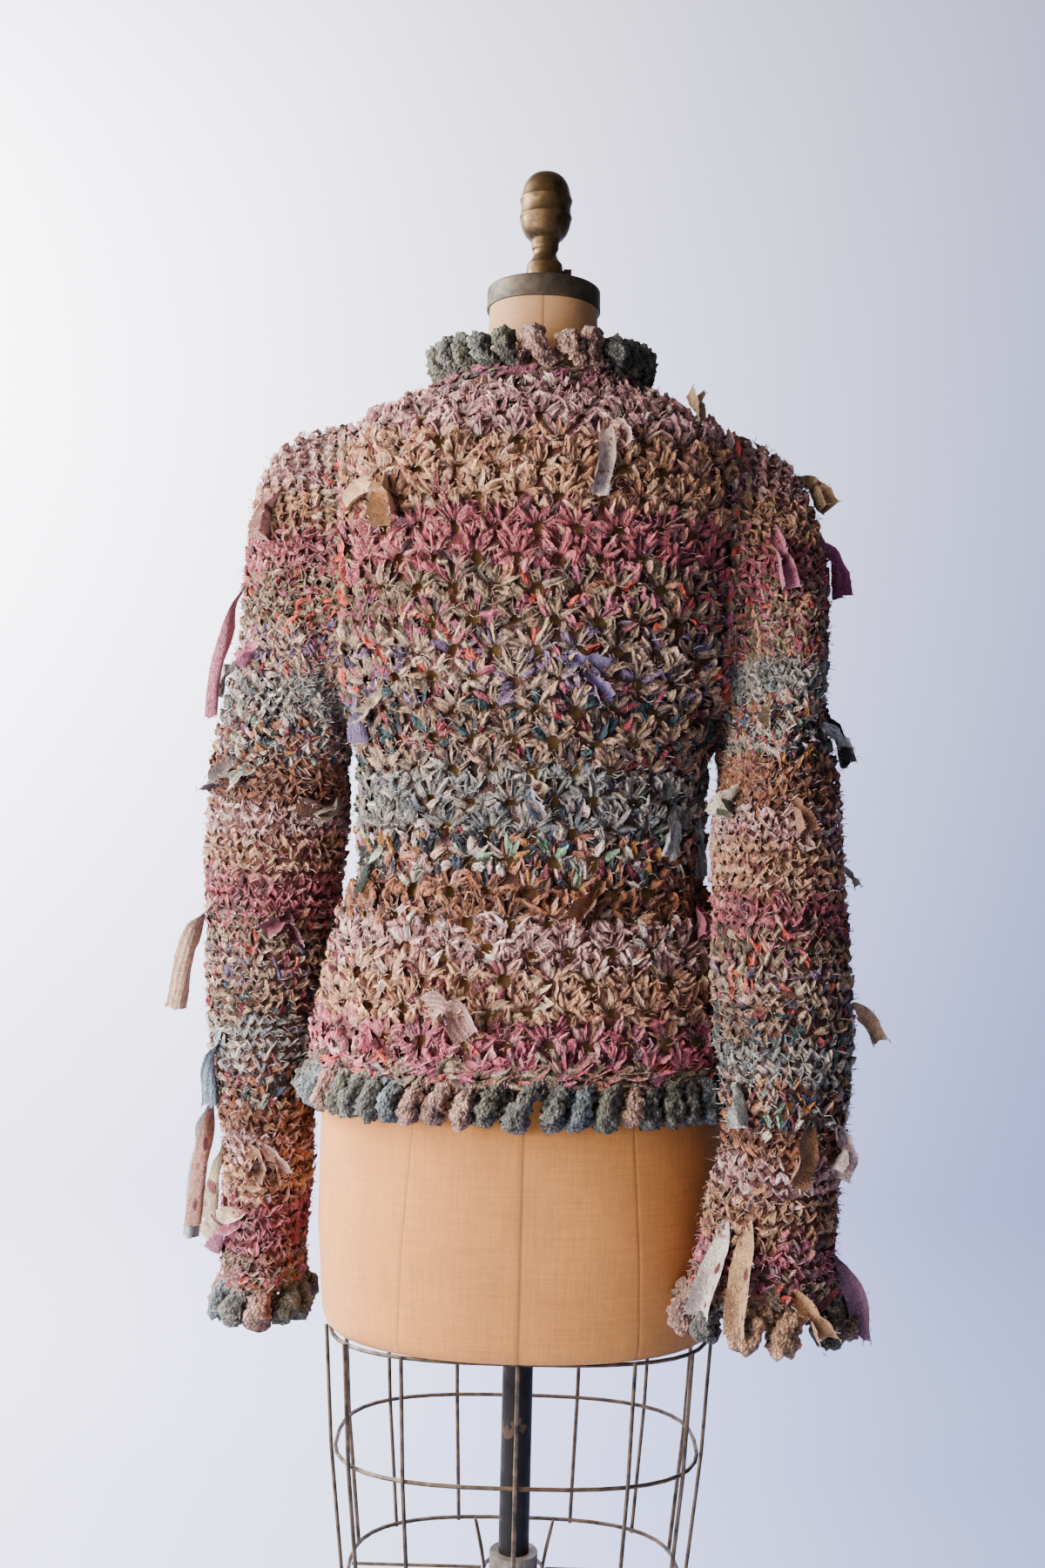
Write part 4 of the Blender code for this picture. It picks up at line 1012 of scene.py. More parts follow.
# %% [markdown]
# ## The looped trims
# The neck, hem and cuffs end in a thick soft yarn that goes up and down in fat loops. Its pile is
# knobbly, so the tube's surface is pushed in and out by noise, and each loop has its own dye. The
# knobs and curls are also painted lighter where they bulge out and darker where they dip, as
# painted highlight and shade.

# %% The look of the yarn
CURL_SCALE = 360.0
FIBRE_SCALE = 900.0
yarn_look = Look("boucle_yarn", 0.95, sheen=0.15)
curls = yarn_look.spots(yarn_look.place, CURL_SCALE)
fibres = yarn_look.noise(FIBRE_SCALE, 4.0, 0.6)
# Painted highlight and shade: the middle of each curl of pile is lighter and its edge darker, as the bump
# raises the middle.
yarn_colour = yarn_look.shade(0.85, yarn_look.own_dye()["Color"], curls, (0.10, 1.35), (0.62, 0.30))
yarn_look.paint(yarn_look.shade(0.6, yarn_colour, fibres, (0.3, 0.7), (0.7, 1.3)))
yarn_look.bump(yarn_look.calculate("SUBTRACT", 1.0, curls), 1.0, 0.0036)
yarn_look.bump(fibres, 0.5, 0.0008)
print("yarn nodes", len(yarn_look.tree.nodes))

# %% Loops of yarn
YARN_RADIUS = 0.0084
KNOB_HEIGHT = 0.0019
YARN_SIDES = 15
RINGS_PER_LOOP = 30
LOOP_SWING = 0.0110
NECK_LOOP_SWING = -0.0102  # the neck's loops stand up, the others hang
HEM_TRIM = 0.8168
NECK_TRIM = 1.4249
CUFF_DROP = 0.0132
LOBE_HEIGHTS, LOBE_GIRTHS = (0.62, 1.15), (0.82, 1.20)
YARN_DYES = {
    "slate": "6A655C", "blue": "707679", "green": "655F4E", "pink": "A87868",
    "blush": "BC8C74", "peach": "C4906A", "tan": "8C6A4C", "olive": "585240",
}


def looped_yarn(name, place, height, start, end, loops, swing, flare, dyes, fat=1.0):
    """A yarn that swings up and down along an edge in fat lobes. `dyes` names each lobe's colour."""
    steps = loops * RINGS_PER_LOOP
    share = np.linspace(0, 1, steps + 1)
    phase = 2 * math.pi * loops * share
    lobe = np.clip(np.round(share * loops - 0.75), 0, loops - 1)
    gone = np.clip(2 * (share * loops - 0.75 - lobe), -1.4, 1.4)
    halves = np.arange(2 * loops + 1)
    sway = np.interp(share * loops * 2, halves, random.uniform(-1, 1, 2 * loops + 1))
    tall = np.interp(share * loops * 2, halves, random.uniform(*LOBE_HEIGHTS, 2 * loops + 1))
    stout = np.interp(share * loops * 2, halves, random.uniform(*LOBE_GIRTHS, 2 * loops + 1))
    pitch = (end - start) / loops
    angle = start + pitch * (lobe + 0.75 + 0.5 * gone * np.abs(gone) ** 1.1 + 0.16 * sway)
    angle = np.clip(angle, start, end)
    middle = place(angle, height)
    along = unit(place(angle + 0.01, height) - place(angle - 0.01, height))
    out = np.cross(along, np.array([0.0, 0.0, 1.0]))
    droop = np.sin(phase)
    forth = 0.0046 * np.cos(phase) + 0.0026 * sway - 0.0030 * np.clip(droop, 0, 1)
    path = middle + out * (flare * (1 - droop) / 2 + forth)[:, None]
    path[:, 2] += swing * droop * tall
    tangent = unit(np.gradient(path, axis=0))
    side = unit(np.cross(tangent, out))
    lift = np.cross(side, tangent)
    turn = np.linspace(0, 2 * math.pi, YARN_SIDES, endpoint=False)
    knobs = random.normal(0, 1, (steps + 1, YARN_SIDES))
    knobs = (knobs + 0.3 * np.roll(knobs, 1, axis=0)) / 1.04
    girth = 0.78 * stout + 0.34 * np.clip(-droop, 0, 1)
    radius = fat * YARN_RADIUS * girth[:, None] + KNOB_HEIGHT * np.clip(knobs, -1.6, 1.6)
    radius[[0, -1]] *= 0.35
    ring = np.cos(turn)[None, :, None] * side[:, None] + np.sin(turn)[None, :, None] * lift[:, None]
    grid = path[:, None] + radius[..., None] * ring
    names = [dyes[number % len(dyes)] for number in range(loops)]
    table = np.array([dye(YARN_DYES[word]) for word in names])
    which = np.round(lobe + random.normal(0, 0.2, steps + 1) * (np.abs(gone) > 0.8))
    which = np.clip(which, 0, loops - 1)
    # Painted light and shade: knobs that bulge out are lighter and dips darker.
    colour = table[which.astype(int)][:, None] * np.clip(0.90 + 0.50 * knobs, 0.18, 1.9)[..., None]
    pile = Pile()
    pile.add(grid[None], colour[None], around=True)
    return pile.make(name, yarn_look)


def oval_edge(half_width, behind, in_front):
    rows = ((0.0, half_width, behind, in_front), (2.0, half_width, behind, in_front))
    return lambda angle, z: section_points(rows, angle, np.full(len(angle), z))

# %% Loops at the hem and the neck
hem_edge = oval_edge(0.1815, 0.135, 0.125)
neck_edge = oval_edge(0.0892, 0.0717, 0.0617)
HEM_DYES = (
    "green slate blue blue pink green slate slate blue pink pink "
    "blush green slate slate blue green blush slate green slate blue"
).split()
NECK_DYES = (
    "olive slate green tan slate olive green slate green slate olive pink blush pink slate green slate green"
).split()
HEM_FLARE, NECK_FLARE = 0.004, -0.002
# The part of the hem, its ends in degrees, its loops, and where in the list its dyes begin.
HEM_PARTS = (
    ("back", -88.5, 88.5, 28, 0), ("front_right", 91.5, 178, 14, 3), ("front_left", -178, -91.5, 14, 6),
)
trims = {}
for name, start, end, loops, first in HEM_PARTS:
    trims["hem_ruffle_" + name] = looped_yarn(
        f"hem_{name}_loops", hem_edge, HEM_TRIM, math.radians(start), math.radians(end), loops, LOOP_SWING,
        HEM_FLARE, HEM_DYES[first:],
    )
trims["neck_ruffle"] = looped_yarn(
    "neck_loops", neck_edge, NECK_TRIM, math.radians(-176), math.radians(176), 24, NECK_LOOP_SWING,
    NECK_FLARE, NECK_DYES,
)

# %% Loops at the cuffs
CUFF_INSET, CUFF_END, CUFF_LOOPS, CUFF_FAT = 0.003, 3.06, 11, 1.2


def cuff_trim(name, rows, side, dyes):
    in_x, cuff, out_x, _, middle_y, half_depth = rows[-1]
    centre = side * (in_x + out_x) / 2
    half, depth = (out_x - in_x) / 2 - CUFF_INSET, half_depth - CUFF_INSET

    def place(angle, z):
        x, y = centre + half * np.sin(angle), middle_y - depth * np.cos(angle)
        return np.stack([x, y, np.full(len(angle), z)], -1)

    return looped_yarn(
        name, place, cuff - CUFF_DROP, -CUFF_END, CUFF_END, CUFF_LOOPS, LOOP_SWING, HEM_FLARE, dyes, CUFF_FAT,
    )


CUFF_DYES = {
    "right": "slate tan pink slate peach peach olive tan pink slate slate",
    "left": "green slate pink blue slate pink green green green peach",
}
for name, words in CUFF_DYES.items():
    rows, side, _ = SLEEVES["sleeve_" + name]
    trims["cuff_ruffle_" + name] = cuff_trim(f"cuff_{name}_loops", rows, side, words.split())

# %% [markdown]
# ## Loose ends of rag
# Where one strip was tied to the next, its end was left outside. Each is a flat ribbon that starts
# inside the stitches, curls a little, and ends in a torn edge with threads.

# %% What every piece needs
def settle(piece, slot, *replaced):
    """A piece rides on the upper body, and the solids that it replaces are hidden. The slot is not used."""
    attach(piece, "form")
    if replaced:
        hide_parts(*replaced)

# %% Ribbons
RIBBON_STEPS = 15
RIBBON_SIDES = 6
RAG_SEAT = 0.0017
OVER_FANS = 0.0026
FREE_LEAN = 1.15
BOW_PINCH = 0.62  # the bow at the waist is drawn in at its middle
EDGE_THREADS, TIP_THREADS = 26, 10
# Name, width, what it is on, its points, its dye and print. A point is its turn in degrees, its
# height (on a sleeve its row in the table) and its lift in mm.
RAG_TAILS = (
    ("tail_cuff_pale", 0.018, "right", "-140 14.3 0, -139 15 2, -139 15.9 8, -141 16.5 9", "E2CFC2 dotted"),
    ("tail_cuff_tan", 0.018, "right", "-118 14.2 0, -116 15 2, -114 15.9 8, -114 16.7 9", "C79A70 dotted"),
    ("tail_cuff_mauve", 0.016, "right", "-28 15 0, -24 15.8 7, -20 16.5 10, -18 17.2 12", "8C6076"),
    ("tail_forearm_brown", 0.018, "right", "-74 12.4 -1.1, -82 12.9 3, -87 13.4 4", "94623E"),
    ("tail_elbow_long", 0.018, "left", "-32 9.7 -0.8, -14 10.1 6, -10 10.7 16, -8 11.4 26", "C49A80 striped"),
    ("tail_forearm_rose", 0.017, "left", "-20 12.6 0, -8 13.2 9, -5 14.1 17, -2 15 24", "C08A78 dotted"),
    ("tail_forearm_blue", 0.016, "left", "-52 11.7 -0.6, -43 12.2 3, -34 12.8 5", "8798A6 striped"),
    ("tail_upper_rose", 0.013, "left", "-22 4.2 -0.6, -16 4.9 7, -16 5.6 9, -26 6.5 6", "BC7484"),
    ("tail_upper_dark", 0.015, "left", "-59 7.1 -0.7, -45 7.4 3, -34 7.7 5", "4A3430"),
    (
        "tail_waist_bow", 0.024, "body", "-27 0.89 -0.9, -21 0.889 3, -16 0.884 4, -12 0.866 3",
        "A87C72 striped",
    ),
    ("tail_shoulder_blush", 0.015, "body", "17 1.352 0, 15 1.327 3, 13 1.291 3", "E4C8BC"),
    ("tail_shoulder_tan", 0.018, "body", "-45 1.306 0, -51 1.3 4, -58 1.286 4", "D2A97E dotted"),
    ("tail_waist_mint", 0.013, "body", "-55 1.011 0, -62 0.991 3, -62 0.968 3", "9CC2AA"),
    ("tail_waist_stripe", 0.016, "body", "51 1.048 0, 48 1.029 3, 46 1.008 3", "AEB4B4 striped"),
    ("tail_elbow_tan", 0.013, "right", "-20 10.7 0, -10 10.9 8, -6 11.2 18", "C49C78"),
)


def skin_of(carrier, turn, row, lift):
    if carrier == "body":
        return body_skin(turn, row, lift)
    rows, side, _ = SLEEVES["sleeve_" + carrier]
    return sleeve_skin(rows, side, turn, row, lift)


def ribbon_path(carrier, stations):
    """A smooth line through a ribbon's points, and the way that the cloth under it faces."""
    columns = np.array([station.split() for station in stations.split(", ")], float)
    keyed = [(knot, *row) for knot, row in zip(np.linspace(0, 1, len(columns)), columns)]
    turn, row, lift = read_table(keyed, np.linspace(0, 1, RIBBON_STEPS)).T
    clear = OVER_FANS * np.clip(lift / 3, 0, 1)
    return skin_of(carrier, np.radians(turn), row, RAG_SEAT + clear + lift * 0.001)

# %% A ribbon along a path
def add_ribbon(pile, width, path, out, cloth, pinch=0.0, curl=0.34, twist=0.35):
    """A curled strip along a path, with a ragged end and threads along its edges."""
    tangent = unit(np.gradient(path, axis=0))
    side = unit(np.cross(out, tangent))
    share = np.linspace(0, 1, len(path))[:, None]
    lean = random.uniform(-twist, twist) * (0.3 + share) + 0.25 * twist * np.sin(7 * share)
    lift = np.cross(tangent, side)
    free = np.clip((abs(out[:, :1]) - 0.72) / 0.15, 0, 1)
    lean = lean + FREE_LEAN * free * np.clip(share * 2.2, 0, 1)
    side, lift = side * np.cos(lean) + lift * np.sin(lean), lift * np.cos(lean) - side * np.sin(lean)
    s = np.linspace(-1, 1, RIBBON_SIDES)
    half = width / 2 * (0.28 + 0.72 * np.clip(share * 3.2, 0, 1) ** 0.8)
    half = half * (1 + 0.08 * np.sin(11 * share + 2 * s))
    half = half * (1 - pinch * np.exp(-(((share - 0.5) / 0.13) ** 2)))
    rise = width * curl * (s * s - 0.4) * (0.4 + share) + width * 0.07 * np.sin(3.4 * s + 7 * share)
    rise = rise + random.normal(0, 0.00050, (len(path), RIBBON_SIDES))
    grid = path[:, None] + (half * s)[..., None] * side[:, None] + rise[..., None] * lift[:, None]
    grid[-1] += tangent[-1] * random.uniform(-0.002, 0.002, (RIBBON_SIDES, 1))
    strip = np.stack([1000 * half * s, 1000 * width * 2.2 * share + 0 * s], axis=-1)
    dye_name, printed = (cloth + " plain").split()[:2]
    # Painted shade: the ribbon is darker near its start, where it comes out from under the stitches.
    colour = dye(dye_name) * (0.90 + 0.10 * np.clip(share * 3, 0, 1))[..., None]
    pile.add(grid[None], np.broadcast_to(colour, grid.shape)[None], PRINTS[printed], strip[None])
    spot = random.integers(2, len(path), EDGE_THREADS)
    edge = random.choice([0, RIBBON_SIDES - 1], EDGE_THREADS)
    edge[:TIP_THREADS] = random.integers(0, RIBBON_SIDES, TIP_THREADS)
    spot[:TIP_THREADS] = len(path) - 1
    foot = grid[spot, edge] - lift[spot] * 0.001
    way = np.where(edge == 0, -1.0, 1.0)[:, None] * side[spot]
    way[:TIP_THREADS] = tangent[-1]
    add_threads(pile, ((0.0, "dusty_pink"),), foot, way, tangent[spot], lift[spot], 0.006)

# %% The ribbons become pieces
tail_pieces = []
for name, width, carrier, stations, cloth in RAG_TAILS:
    path, out = ribbon_path(carrier, stations)
    pile = Pile()
    pinch = BOW_PINCH if name == "tail_waist_bow" else 0.0
    add_ribbon(pile, width, path, out, cloth, pinch)
    tail_pieces.append(pile.make(name + "_ribbon", rag_look))
    settle(tail_pieces[-1], "rag_strip", name)

# %% [markdown]
# Many more ends are only a knot or a scrap of strip. They are poured into one piece for each
# part of the garment that they are on.

# %% Small ends and knots
# Width, what it is on, its points, its dye and print.
SMALL_ENDS = (
    (0.014, "left", "-22 12.7 -0.8, -2 13.3 15, 2 14.2 24, 2 15.3 30", "82868A"),
    (0.022, "body", "-44 1.312 -0.8, -41 1.294 4, -38 1.272 4", "CFA274 dotted"),
    (0.012, "body", "-2 1.073 -0.8, 0 1.065 2, 3 1.055 3", "D2B48E dotted"),
    (0.013, "body", "-1 1.065 -0.8, 0 1.052 1.5, 2 1.04 2", "A2B2BE striped"),
    (0.015, "body", "-62 1.136 -0.8, -64 1.118 2, -64 1.101 3", "A090B2"),
    (0.011, "body", "-47 1.14 -0.8, -53 1.13 2, -61 1.123 3", "D2BE9E"),
    (0.017, "body", "6 1.168 -0.8, 11 1.162 2, 17 1.157 3", "715E8A"),
    (0.014, "body", "12 1.161 -0.8, 15 1.147 2, 18 1.135 3", "8470A0"),
    (0.017, "body", "80 0.972 -0.8, 76 0.95 3, 72 0.928 5", "B8606E"),
    (0.012, "body", "65 0.968 -0.8, 58 0.953 2.5, 56 0.939 4", "A04C60"),
    (0.01, "body", "69 1.044 -0.8, 70 1.019 2.5, 73 0.991 4", "A0A6A4 striped"),
    (0.015, "body", "22 0.988 -0.8, 17 0.972 2, 12 0.954 3", "966440"),
    (0.012, "body", "18 1.356 -0.8, 20 1.345 2, 20 1.332 3", "DCAE9C"),
    (0.013, "body", "56 1.362 -0.8, 60 1.372 6, 66 1.379 11", "C09A70"),
    (0.015, "left", "-48 1.71 -0.8, -52 2.17 2, -58 2.61 3", "D4A494 dotted"),
    (0.014, "left", "-12 5.52 -0.8, -8 5.79 3, -8 6.1 6", "C0BAB2 striped"),
    (0.012, "left", "-63 4.66 -0.8, -55 5.04 2, -51 5.33 3", "D47C96"),
    (0.014, "left", "-150 7.94 -0.8, -134 7.77 2.5, -113 7.68 4", "744A36"),
    (0.01, "left", "-158 7.45 -0.8, -143 7.72 3, -125 8 5", "B4A48C striped"),
    (0.015, "left", "-119 9.83 -0.8, -105 9.92 2.5, -94 10.14 4", "8A4052"),
    (0.012, "left", "-108 9.77 -0.8, -112 10.03 3, -118 10.29 5", "74303E dotted"),
    (0.013, "left", "-22 13.49 -0.8, -12 14.19 3.5, -8 14.84 7", "AC9878 dotted"),
    (0.015, "left", "-78 13.38 -0.8, -91 13.64 2, -86 13.99 3", "9C6C4A dotted"),
    (0.012, "left", "-99 13.37 -0.8, -112 13.65 2, -119 13.92 3", "D4AA9C"),
    (0.016, "left", "-76 14.51 -0.8, -45 14.69 3, -14 15.2 5", "D8B698 dotted"),
    (0.012, "left", "-71 14.68 -0.8, -51 14.9 3, -37 15.27 5", "BC6C84"),
    (0.012, "left", "-77 7.17 -0.8, -67 7.28 2.5, -57 7.5 4", "C6C6B4 striped"),
    (0.016, "right", "-16 2.08 -0.8, -8 2.37 4, -10 2.81 7", "BC9468 dotted"),
    (0.014, "right", "-64 1.45 -0.8, -73 1.98 2.5, -79 2.64 4", "C06C82 dotted"),
    (0.014, "right", "-31 3.23 -0.8, -12 3.84 3.5, -6 4.36 7", "96406A"),
    (0.011, "right", "-104 4.6 -0.8, -104 5 2, -104 5.4 3", "B09C80"),
    (0.014, "right", "-14 6.18 -0.8, -8 6.56 3, -6 6.98 6", "302C30 striped"),
    (0.012, "right", "-38 6.26 -0.8, -20 6.49 3, -8 6.72 5", "D2D0C8 striped"),
    (0.015, "right", "-135 6.7 -0.8, -145 7.1 2.5, -152 7.6 4", "D2C2A6 striped"),
    (0.011, "right", "-150 6.8 -0.8, -145 7.2 3, -140 7.6 5", "54523F"),
    (0.014, "right", "-90 7.28 -0.8, -82 7.68 2.5, -77 8.11 4", "925E40"),
    (0.006, "right", "-24 8.67 -0.8, -8 8.86 4, -4 9.03 9", "B8A890"),
    (0.015, "right", "-47 12.47 -0.8, -37 12.85 2.5, -50 13.23 4", "DCBEBA striped"),
    (0.015, "right", "-78 15.6 -0.8, -68 16.2 5, -60 16.8 8", "C08C5E"),
    (0.014, "right", "-149 11.83 -0.8, -138 12.17 2, -133 12.53 3", "CED2C6 striped"),
    # The hidden sides are given a few like them.
    (0.014, "body", "-128 1.1 -0.8, -132 1.08 2, -134 1.06 4", "B48C70 dotted"),
    (0.013, "body", "140 1.21 -0.8, 144 1.19 2, 145 1.16 4", "B87088"),
    (0.015, "body", "122 0.93 -0.8, 127 0.91 2, 128 0.89 4", "C8A890 dotted"),
    (0.014, "left", "70 6.2 -0.8, 76 6.6 3, 78 7 5", "A6ACB0 striped"),
    (0.014, "left", "95 11.6 -0.8, 100 12 3, 98 12.5 5", "A06A4C"),
    (0.014, "right", "80 8.8 -0.8, 86 9.2 3, 88 9.7 5", "C8909C dotted"),
    (0.015, "right", "100 13.4 -0.8, 96 13.9 3, 94 14.4 5", "C8A078 dotted"),
)
SMALL_PINCH, SMALL_CURL = 0.50, 0.85
small_ends = {}
for carrier in ("body", "left", "right"):
    pile = Pile()
    for width, where, stations, cloth in SMALL_ENDS:
        if where == carrier:
            path, out = ribbon_path(where, stations)
            add_ribbon(pile, width, path, out, cloth, SMALL_PINCH, SMALL_CURL)
    small_ends[carrier] = pile.make("small_rag_ends_" + carrier, rag_look)
    settle(small_ends[carrier], "rag_strip")

# %% [markdown]
# ## The dress form
# The form is stuffed hard and covered in fine linen, sewn from panels with a seam down the middle
# of the back and more round the sides. The cover is a smooth skin over the solid, with each seam
# drawn in as a narrow trough. Under the cloth the linen is painted brighter and more orange, as
# painted light that makes it glow golden through the holes between the stitches.

# %% The linen look
LINEN_SCALE = 0.36
linen_look = Look("form_linen", 0.82, sheen=0.15)
linen_uv = linen_look.strip()
linen_weave = linen_look.calculate("ADD", *(linen_look.wave(linen_uv, LINEN_SCALE, way, 0.6) for way in "YX"))
age = linen_look.noise(14.0, 5.0, 0.6)
slubs = linen_look.noise(220.0, 3.0, 0.5)
linen_colour = linen_look.shade(0.8, linen_look.own_dye()["Color"], age, (0.3, 0.82), (0.7, 1.12))
linen_colour = linen_look.shade(0.5, linen_colour, slubs, (0.35, 0.9), (0.65, 1.08))
for stretch in ((0.02, 0.5, 1.0), (0.5, 0.02, 1.0)):
    stretched = linen_look.node("ShaderNodeMapping", [("Vector", linen_uv)], [("Scale", stretch)])
    uneven = linen_look.noise(1.0, 3.0, 0.6, stretched.outputs["Vector"])
    linen_colour = linen_look.shade(0.8, linen_colour, uneven, (0.3, 0.86), (0.7, 1.10))
linen_look.paint(linen_colour)
linen_look.bump(linen_weave, 0.12, 0.0002)
linen_look.bump(slubs, 0.25, 0.0004)
print("linen nodes", len(linen_look.tree.nodes))

# %% The linen cover
SEAM_TURNS = np.array([-2.45, -1.62, -0.58, 0.0, 0.58, 1.62, 2.45])
SEAM_OFFSETS = np.array([-3.0, -0.8, -0.3, 0.0, 0.3, 0.8, 3.0]) / 1000
SEAM_DEPTHS = np.array([0.0, 0.25, 0.8, 1.0, 0.8, 0.25, 0.0])
PANEL_COLUMNS = 6
torso_z = np.concatenate([
    np.linspace(0.610, 0.625, 7)[:-1], np.linspace(0.625, 1.35, 62), np.linspace(1.358, 1.4766, 26),
])
SEAM_TROUGH = 0.0003
SIDE_DARK, CENTRE_DARK = 0.22, 0.48
LINEN_DYE, NECK_DYE, PAINTED_LIGHT_DYE = dye("C57F39"), dye("A4764C"), dye("FFC67C")
seam_turn = SEAM_TURNS[None, :] * (1 - 0.8 * np.clip(torso_z - 0.6, 0, 0.6))[:, None]
seam_places = section_points(TORSO, seam_turn, torso_z[:, None] + 0 * seam_turn)
seam_radius = np.linalg.norm(seam_places[..., :2], axis=-1)
turns, depths = [], []
for number in range(len(SEAM_TURNS)):
    beside = SEAM_OFFSETS[None, :] / seam_radius[:, number, None]
    turns.append(seam_turn[:, number, None] + beside)
    depths.append(np.broadcast_to(SEAM_DEPTHS, beside.shape))
    following = (number + 1) % len(SEAM_TURNS)
    start = turns[-1][:, -1:]
    end = seam_turn[:, following, None] + SEAM_OFFSETS[0] / seam_radius[:, following, None]
    end = end + (2 * math.pi if following == 0 else 0)
    between = np.linspace(0, 1, PANEL_COLUMNS + 2)[None, 1:-1]
    turns.append(start * (1 - between) + end * between)
    depths.append(np.zeros((len(torso_z), PANEL_COLUMNS)))
torso_turn = np.concatenate(turns, axis=1)
seam_depth = np.concatenate(depths, axis=1)
cover = section_points(TORSO, torso_turn, torso_z[:, None] + 0 * torso_turn)
cover_level = cover.copy()
cover_level[..., 2] = 0
neck_share = np.clip((torso_z - 1.36) / 0.05, 0, 1)[:, None, None]
side_seam = np.abs(torso_turn) > 0.15
seam_depth = seam_depth * (1 - neck_share[..., 0] * side_seam)
cover = cover + unit(cover_level) * (SEAM_TROUGH - SEAM_TROUGH * seam_depth)[..., None]
linen_base = LINEN_DYE * (1 - neck_share) + NECK_DYE * neck_share
linen_base = linen_base * (1 - np.where(side_seam, SIDE_DARK, CENTRE_DARK) * seam_depth)[..., None]
# Painted light: above the hem line the linen is brighter and more orange, so that it glows golden through the
# holes between the stitches.
painted_light_under_cloth = np.clip((torso_z - 0.84) / 0.02, 0, 1)[:, None, None] * (1 - neck_share)
linen_base = linen_base * (1 - painted_light_under_cloth) + PAINTED_LIGHT_DYE * painted_light_under_cloth
cover_uv = np.stack(np.broadcast_arrays(torso_turn * 150, torso_z[:, None] * 1000), axis=-1)
cover_pile = Pile()
cover_pile.add(cover[None], linen_base[None], strip=cover_uv[None], around=True)
for end in (0, -1):
    shares = np.array([1.0, 0.5, 0.02])[:, None, None]
    centre = cover[end].mean(axis=0)
    cap = centre + (cover[end][None] - centre) * shares
    cap = cap if end else cap[::-1]
    cover_pile.add(cap[None], linen_base[end][None, None], around=True)
linen_cover = cover_pile.make("linen_cover", linen_look)

# %% [markdown]
# ## Metal, paint and iron
# The finial is old bronze, dark in the hollows, and the cap is darker. The wire of the cage is the
# same brown.
# The pole was painted black and has chipped, and the foot is plain cast iron.

# %% Looks of the stand
def metal_look(name, dark, light, roughness, metallic, scale, chip=None):
    """A worn surface: two tones by noise, and chips to a third where it is given."""
    look = Look(name, roughness, metallic)
    wear = look.noise(scale, 5.0, 0.62)
    surface = look.ramp(wear, (0.34, dye(dark)), (0.66, dye(light)))
    if chip is not None:
        flaw = look.noise(scale * 0.55, 6.0, 0.7)
        surface = look.mix(look.ramp(flaw, (0.585, 0.0), (0.615, 1.0)), surface, dye(chip))
    look.paint(surface)
    rough = look.ramp(wear, (0.3, min(1.0, roughness + 0.15)), (0.7, max(0.1, roughness - 0.12)))
    look.paint(rough, "Roughness")
    look.bump(look.noise(scale * 4, 4.0, 0.6), 0.25, 0.0006)
    return look


bronze_look = metal_look("aged_bronze", "281E14", "705636", 0.46, 0.85, 60.0)
wire_look = metal_look("cage_wire", "2C241C", "6E5A44", 0.52, 0.55, 90.0)
pole_look = metal_look("chipped_black_paint", "080706", "16120F", 0.55, 0.0, 55.0, "4C3826")
pole_look.shader["Specular IOR Level"].default_value = 0.25
iron_look = metal_look("cast_iron", "2A2725", "4A4541", 0.6, 0.35, 40.0, "5C4030")
collar_look = metal_look("worn_collar", "4A443C", "8C8274", 0.55, 0.4, 50.0)
screw_look = metal_look("dark_red_screw", "2A1210", "5C1E1A", 0.4, 0.2, 90.0)
NODE_LOOKS = (
    ("neck_cap", bronze_look), ("finial", bronze_look), ("cage_", wire_look), ("column", pole_look),
    ("set_screw", screw_look), ("height_collar", collar_look), ("lower_tube", iron_look), ("base", iron_look),
)
for node_name, piece in nodes.items():
    for beginning, look in NODE_LOOKS:
        if node_name.startswith(beginning):
            piece.data.materials.clear()
            piece.data.materials.append(look.material)
            print(node_name, "is given", look.material.name)

# %% [markdown]
# The solids of the finial and the cap have few sides, so both are turned again here with more, and
# with the two raised rings that the finial has in the photograph.

# %% Turned finial and cap
TURNED_SIDES = 64
TURNED_STEPS = 3
FINIAL_FOOT = 1.4953
CAP_FOOT = 1.4767
# Radius and height in mm, from the foot up.
FINIAL_PROFILE = (
    (0.3, 0), (17, 0), (17, 10), (15.8, 20.1), (15.4, 23.1), (12.5, 27.1), (10.1, 32.2),
    (10.5, 35.2), (11.7, 37), (12.1, 42.3), (12.5, 44.3), (15.8, 47.3), (19.4, 52.4), (21.4, 58.5),
    (22.2, 62.5), (22.9, 64.5), (22.2, 66.5), (21.4, 72.6), (22.2, 77.4), (22.9, 79.7),
    (22.2, 81.7), (21.2, 85.7), (19.6, 91.8), (16.2, 97.8), (12.9, 101.1), (9.7, 102.7),
    (6.9, 103.3), (0.3, 103.5),
)
CAP_PROFILE = (
    (0.3, 0), (48.2, 0), (49.4, 0.6), (49.5, 1.8), (49.2, 9), (49, 17.4), (48.2, 18.8),
    (46.5, 19.3), (0.3, 19.4),
)


def turned(name, profile, foot, look):
    """A profile turned round the upright axis, as on a lathe."""
    keyed = [(float(number), *row) for number, row in enumerate(profile)]
    at = np.linspace(0, len(profile) - 1, TURNED_STEPS * (len(profile) - 1) + 1)
    radius, height = (column[:, None] / 1000 for column in read_table(keyed, at).T)
    turn = np.linspace(0, 2 * math.pi, TURNED_SIDES, endpoint=False)[None, :]
    grid = np.stack(np.broadcast_arrays(radius * np.cos(turn), radius * np.sin(turn), foot + height), axis=-1)
    pile = Pile()
    pile.add(grid[None], around=True)
    return pile.make(name, look)


cap_look = metal_look("darkened_bronze", "241D17", "524436", 0.58, 0.55, 60.0)
turned_finial = turned("turned_finial", FINIAL_PROFILE, FINIAL_FOOT, bronze_look)
turned_cap = turned("turned_cap", CAP_PROFILE, CAP_FOOT, cap_look)

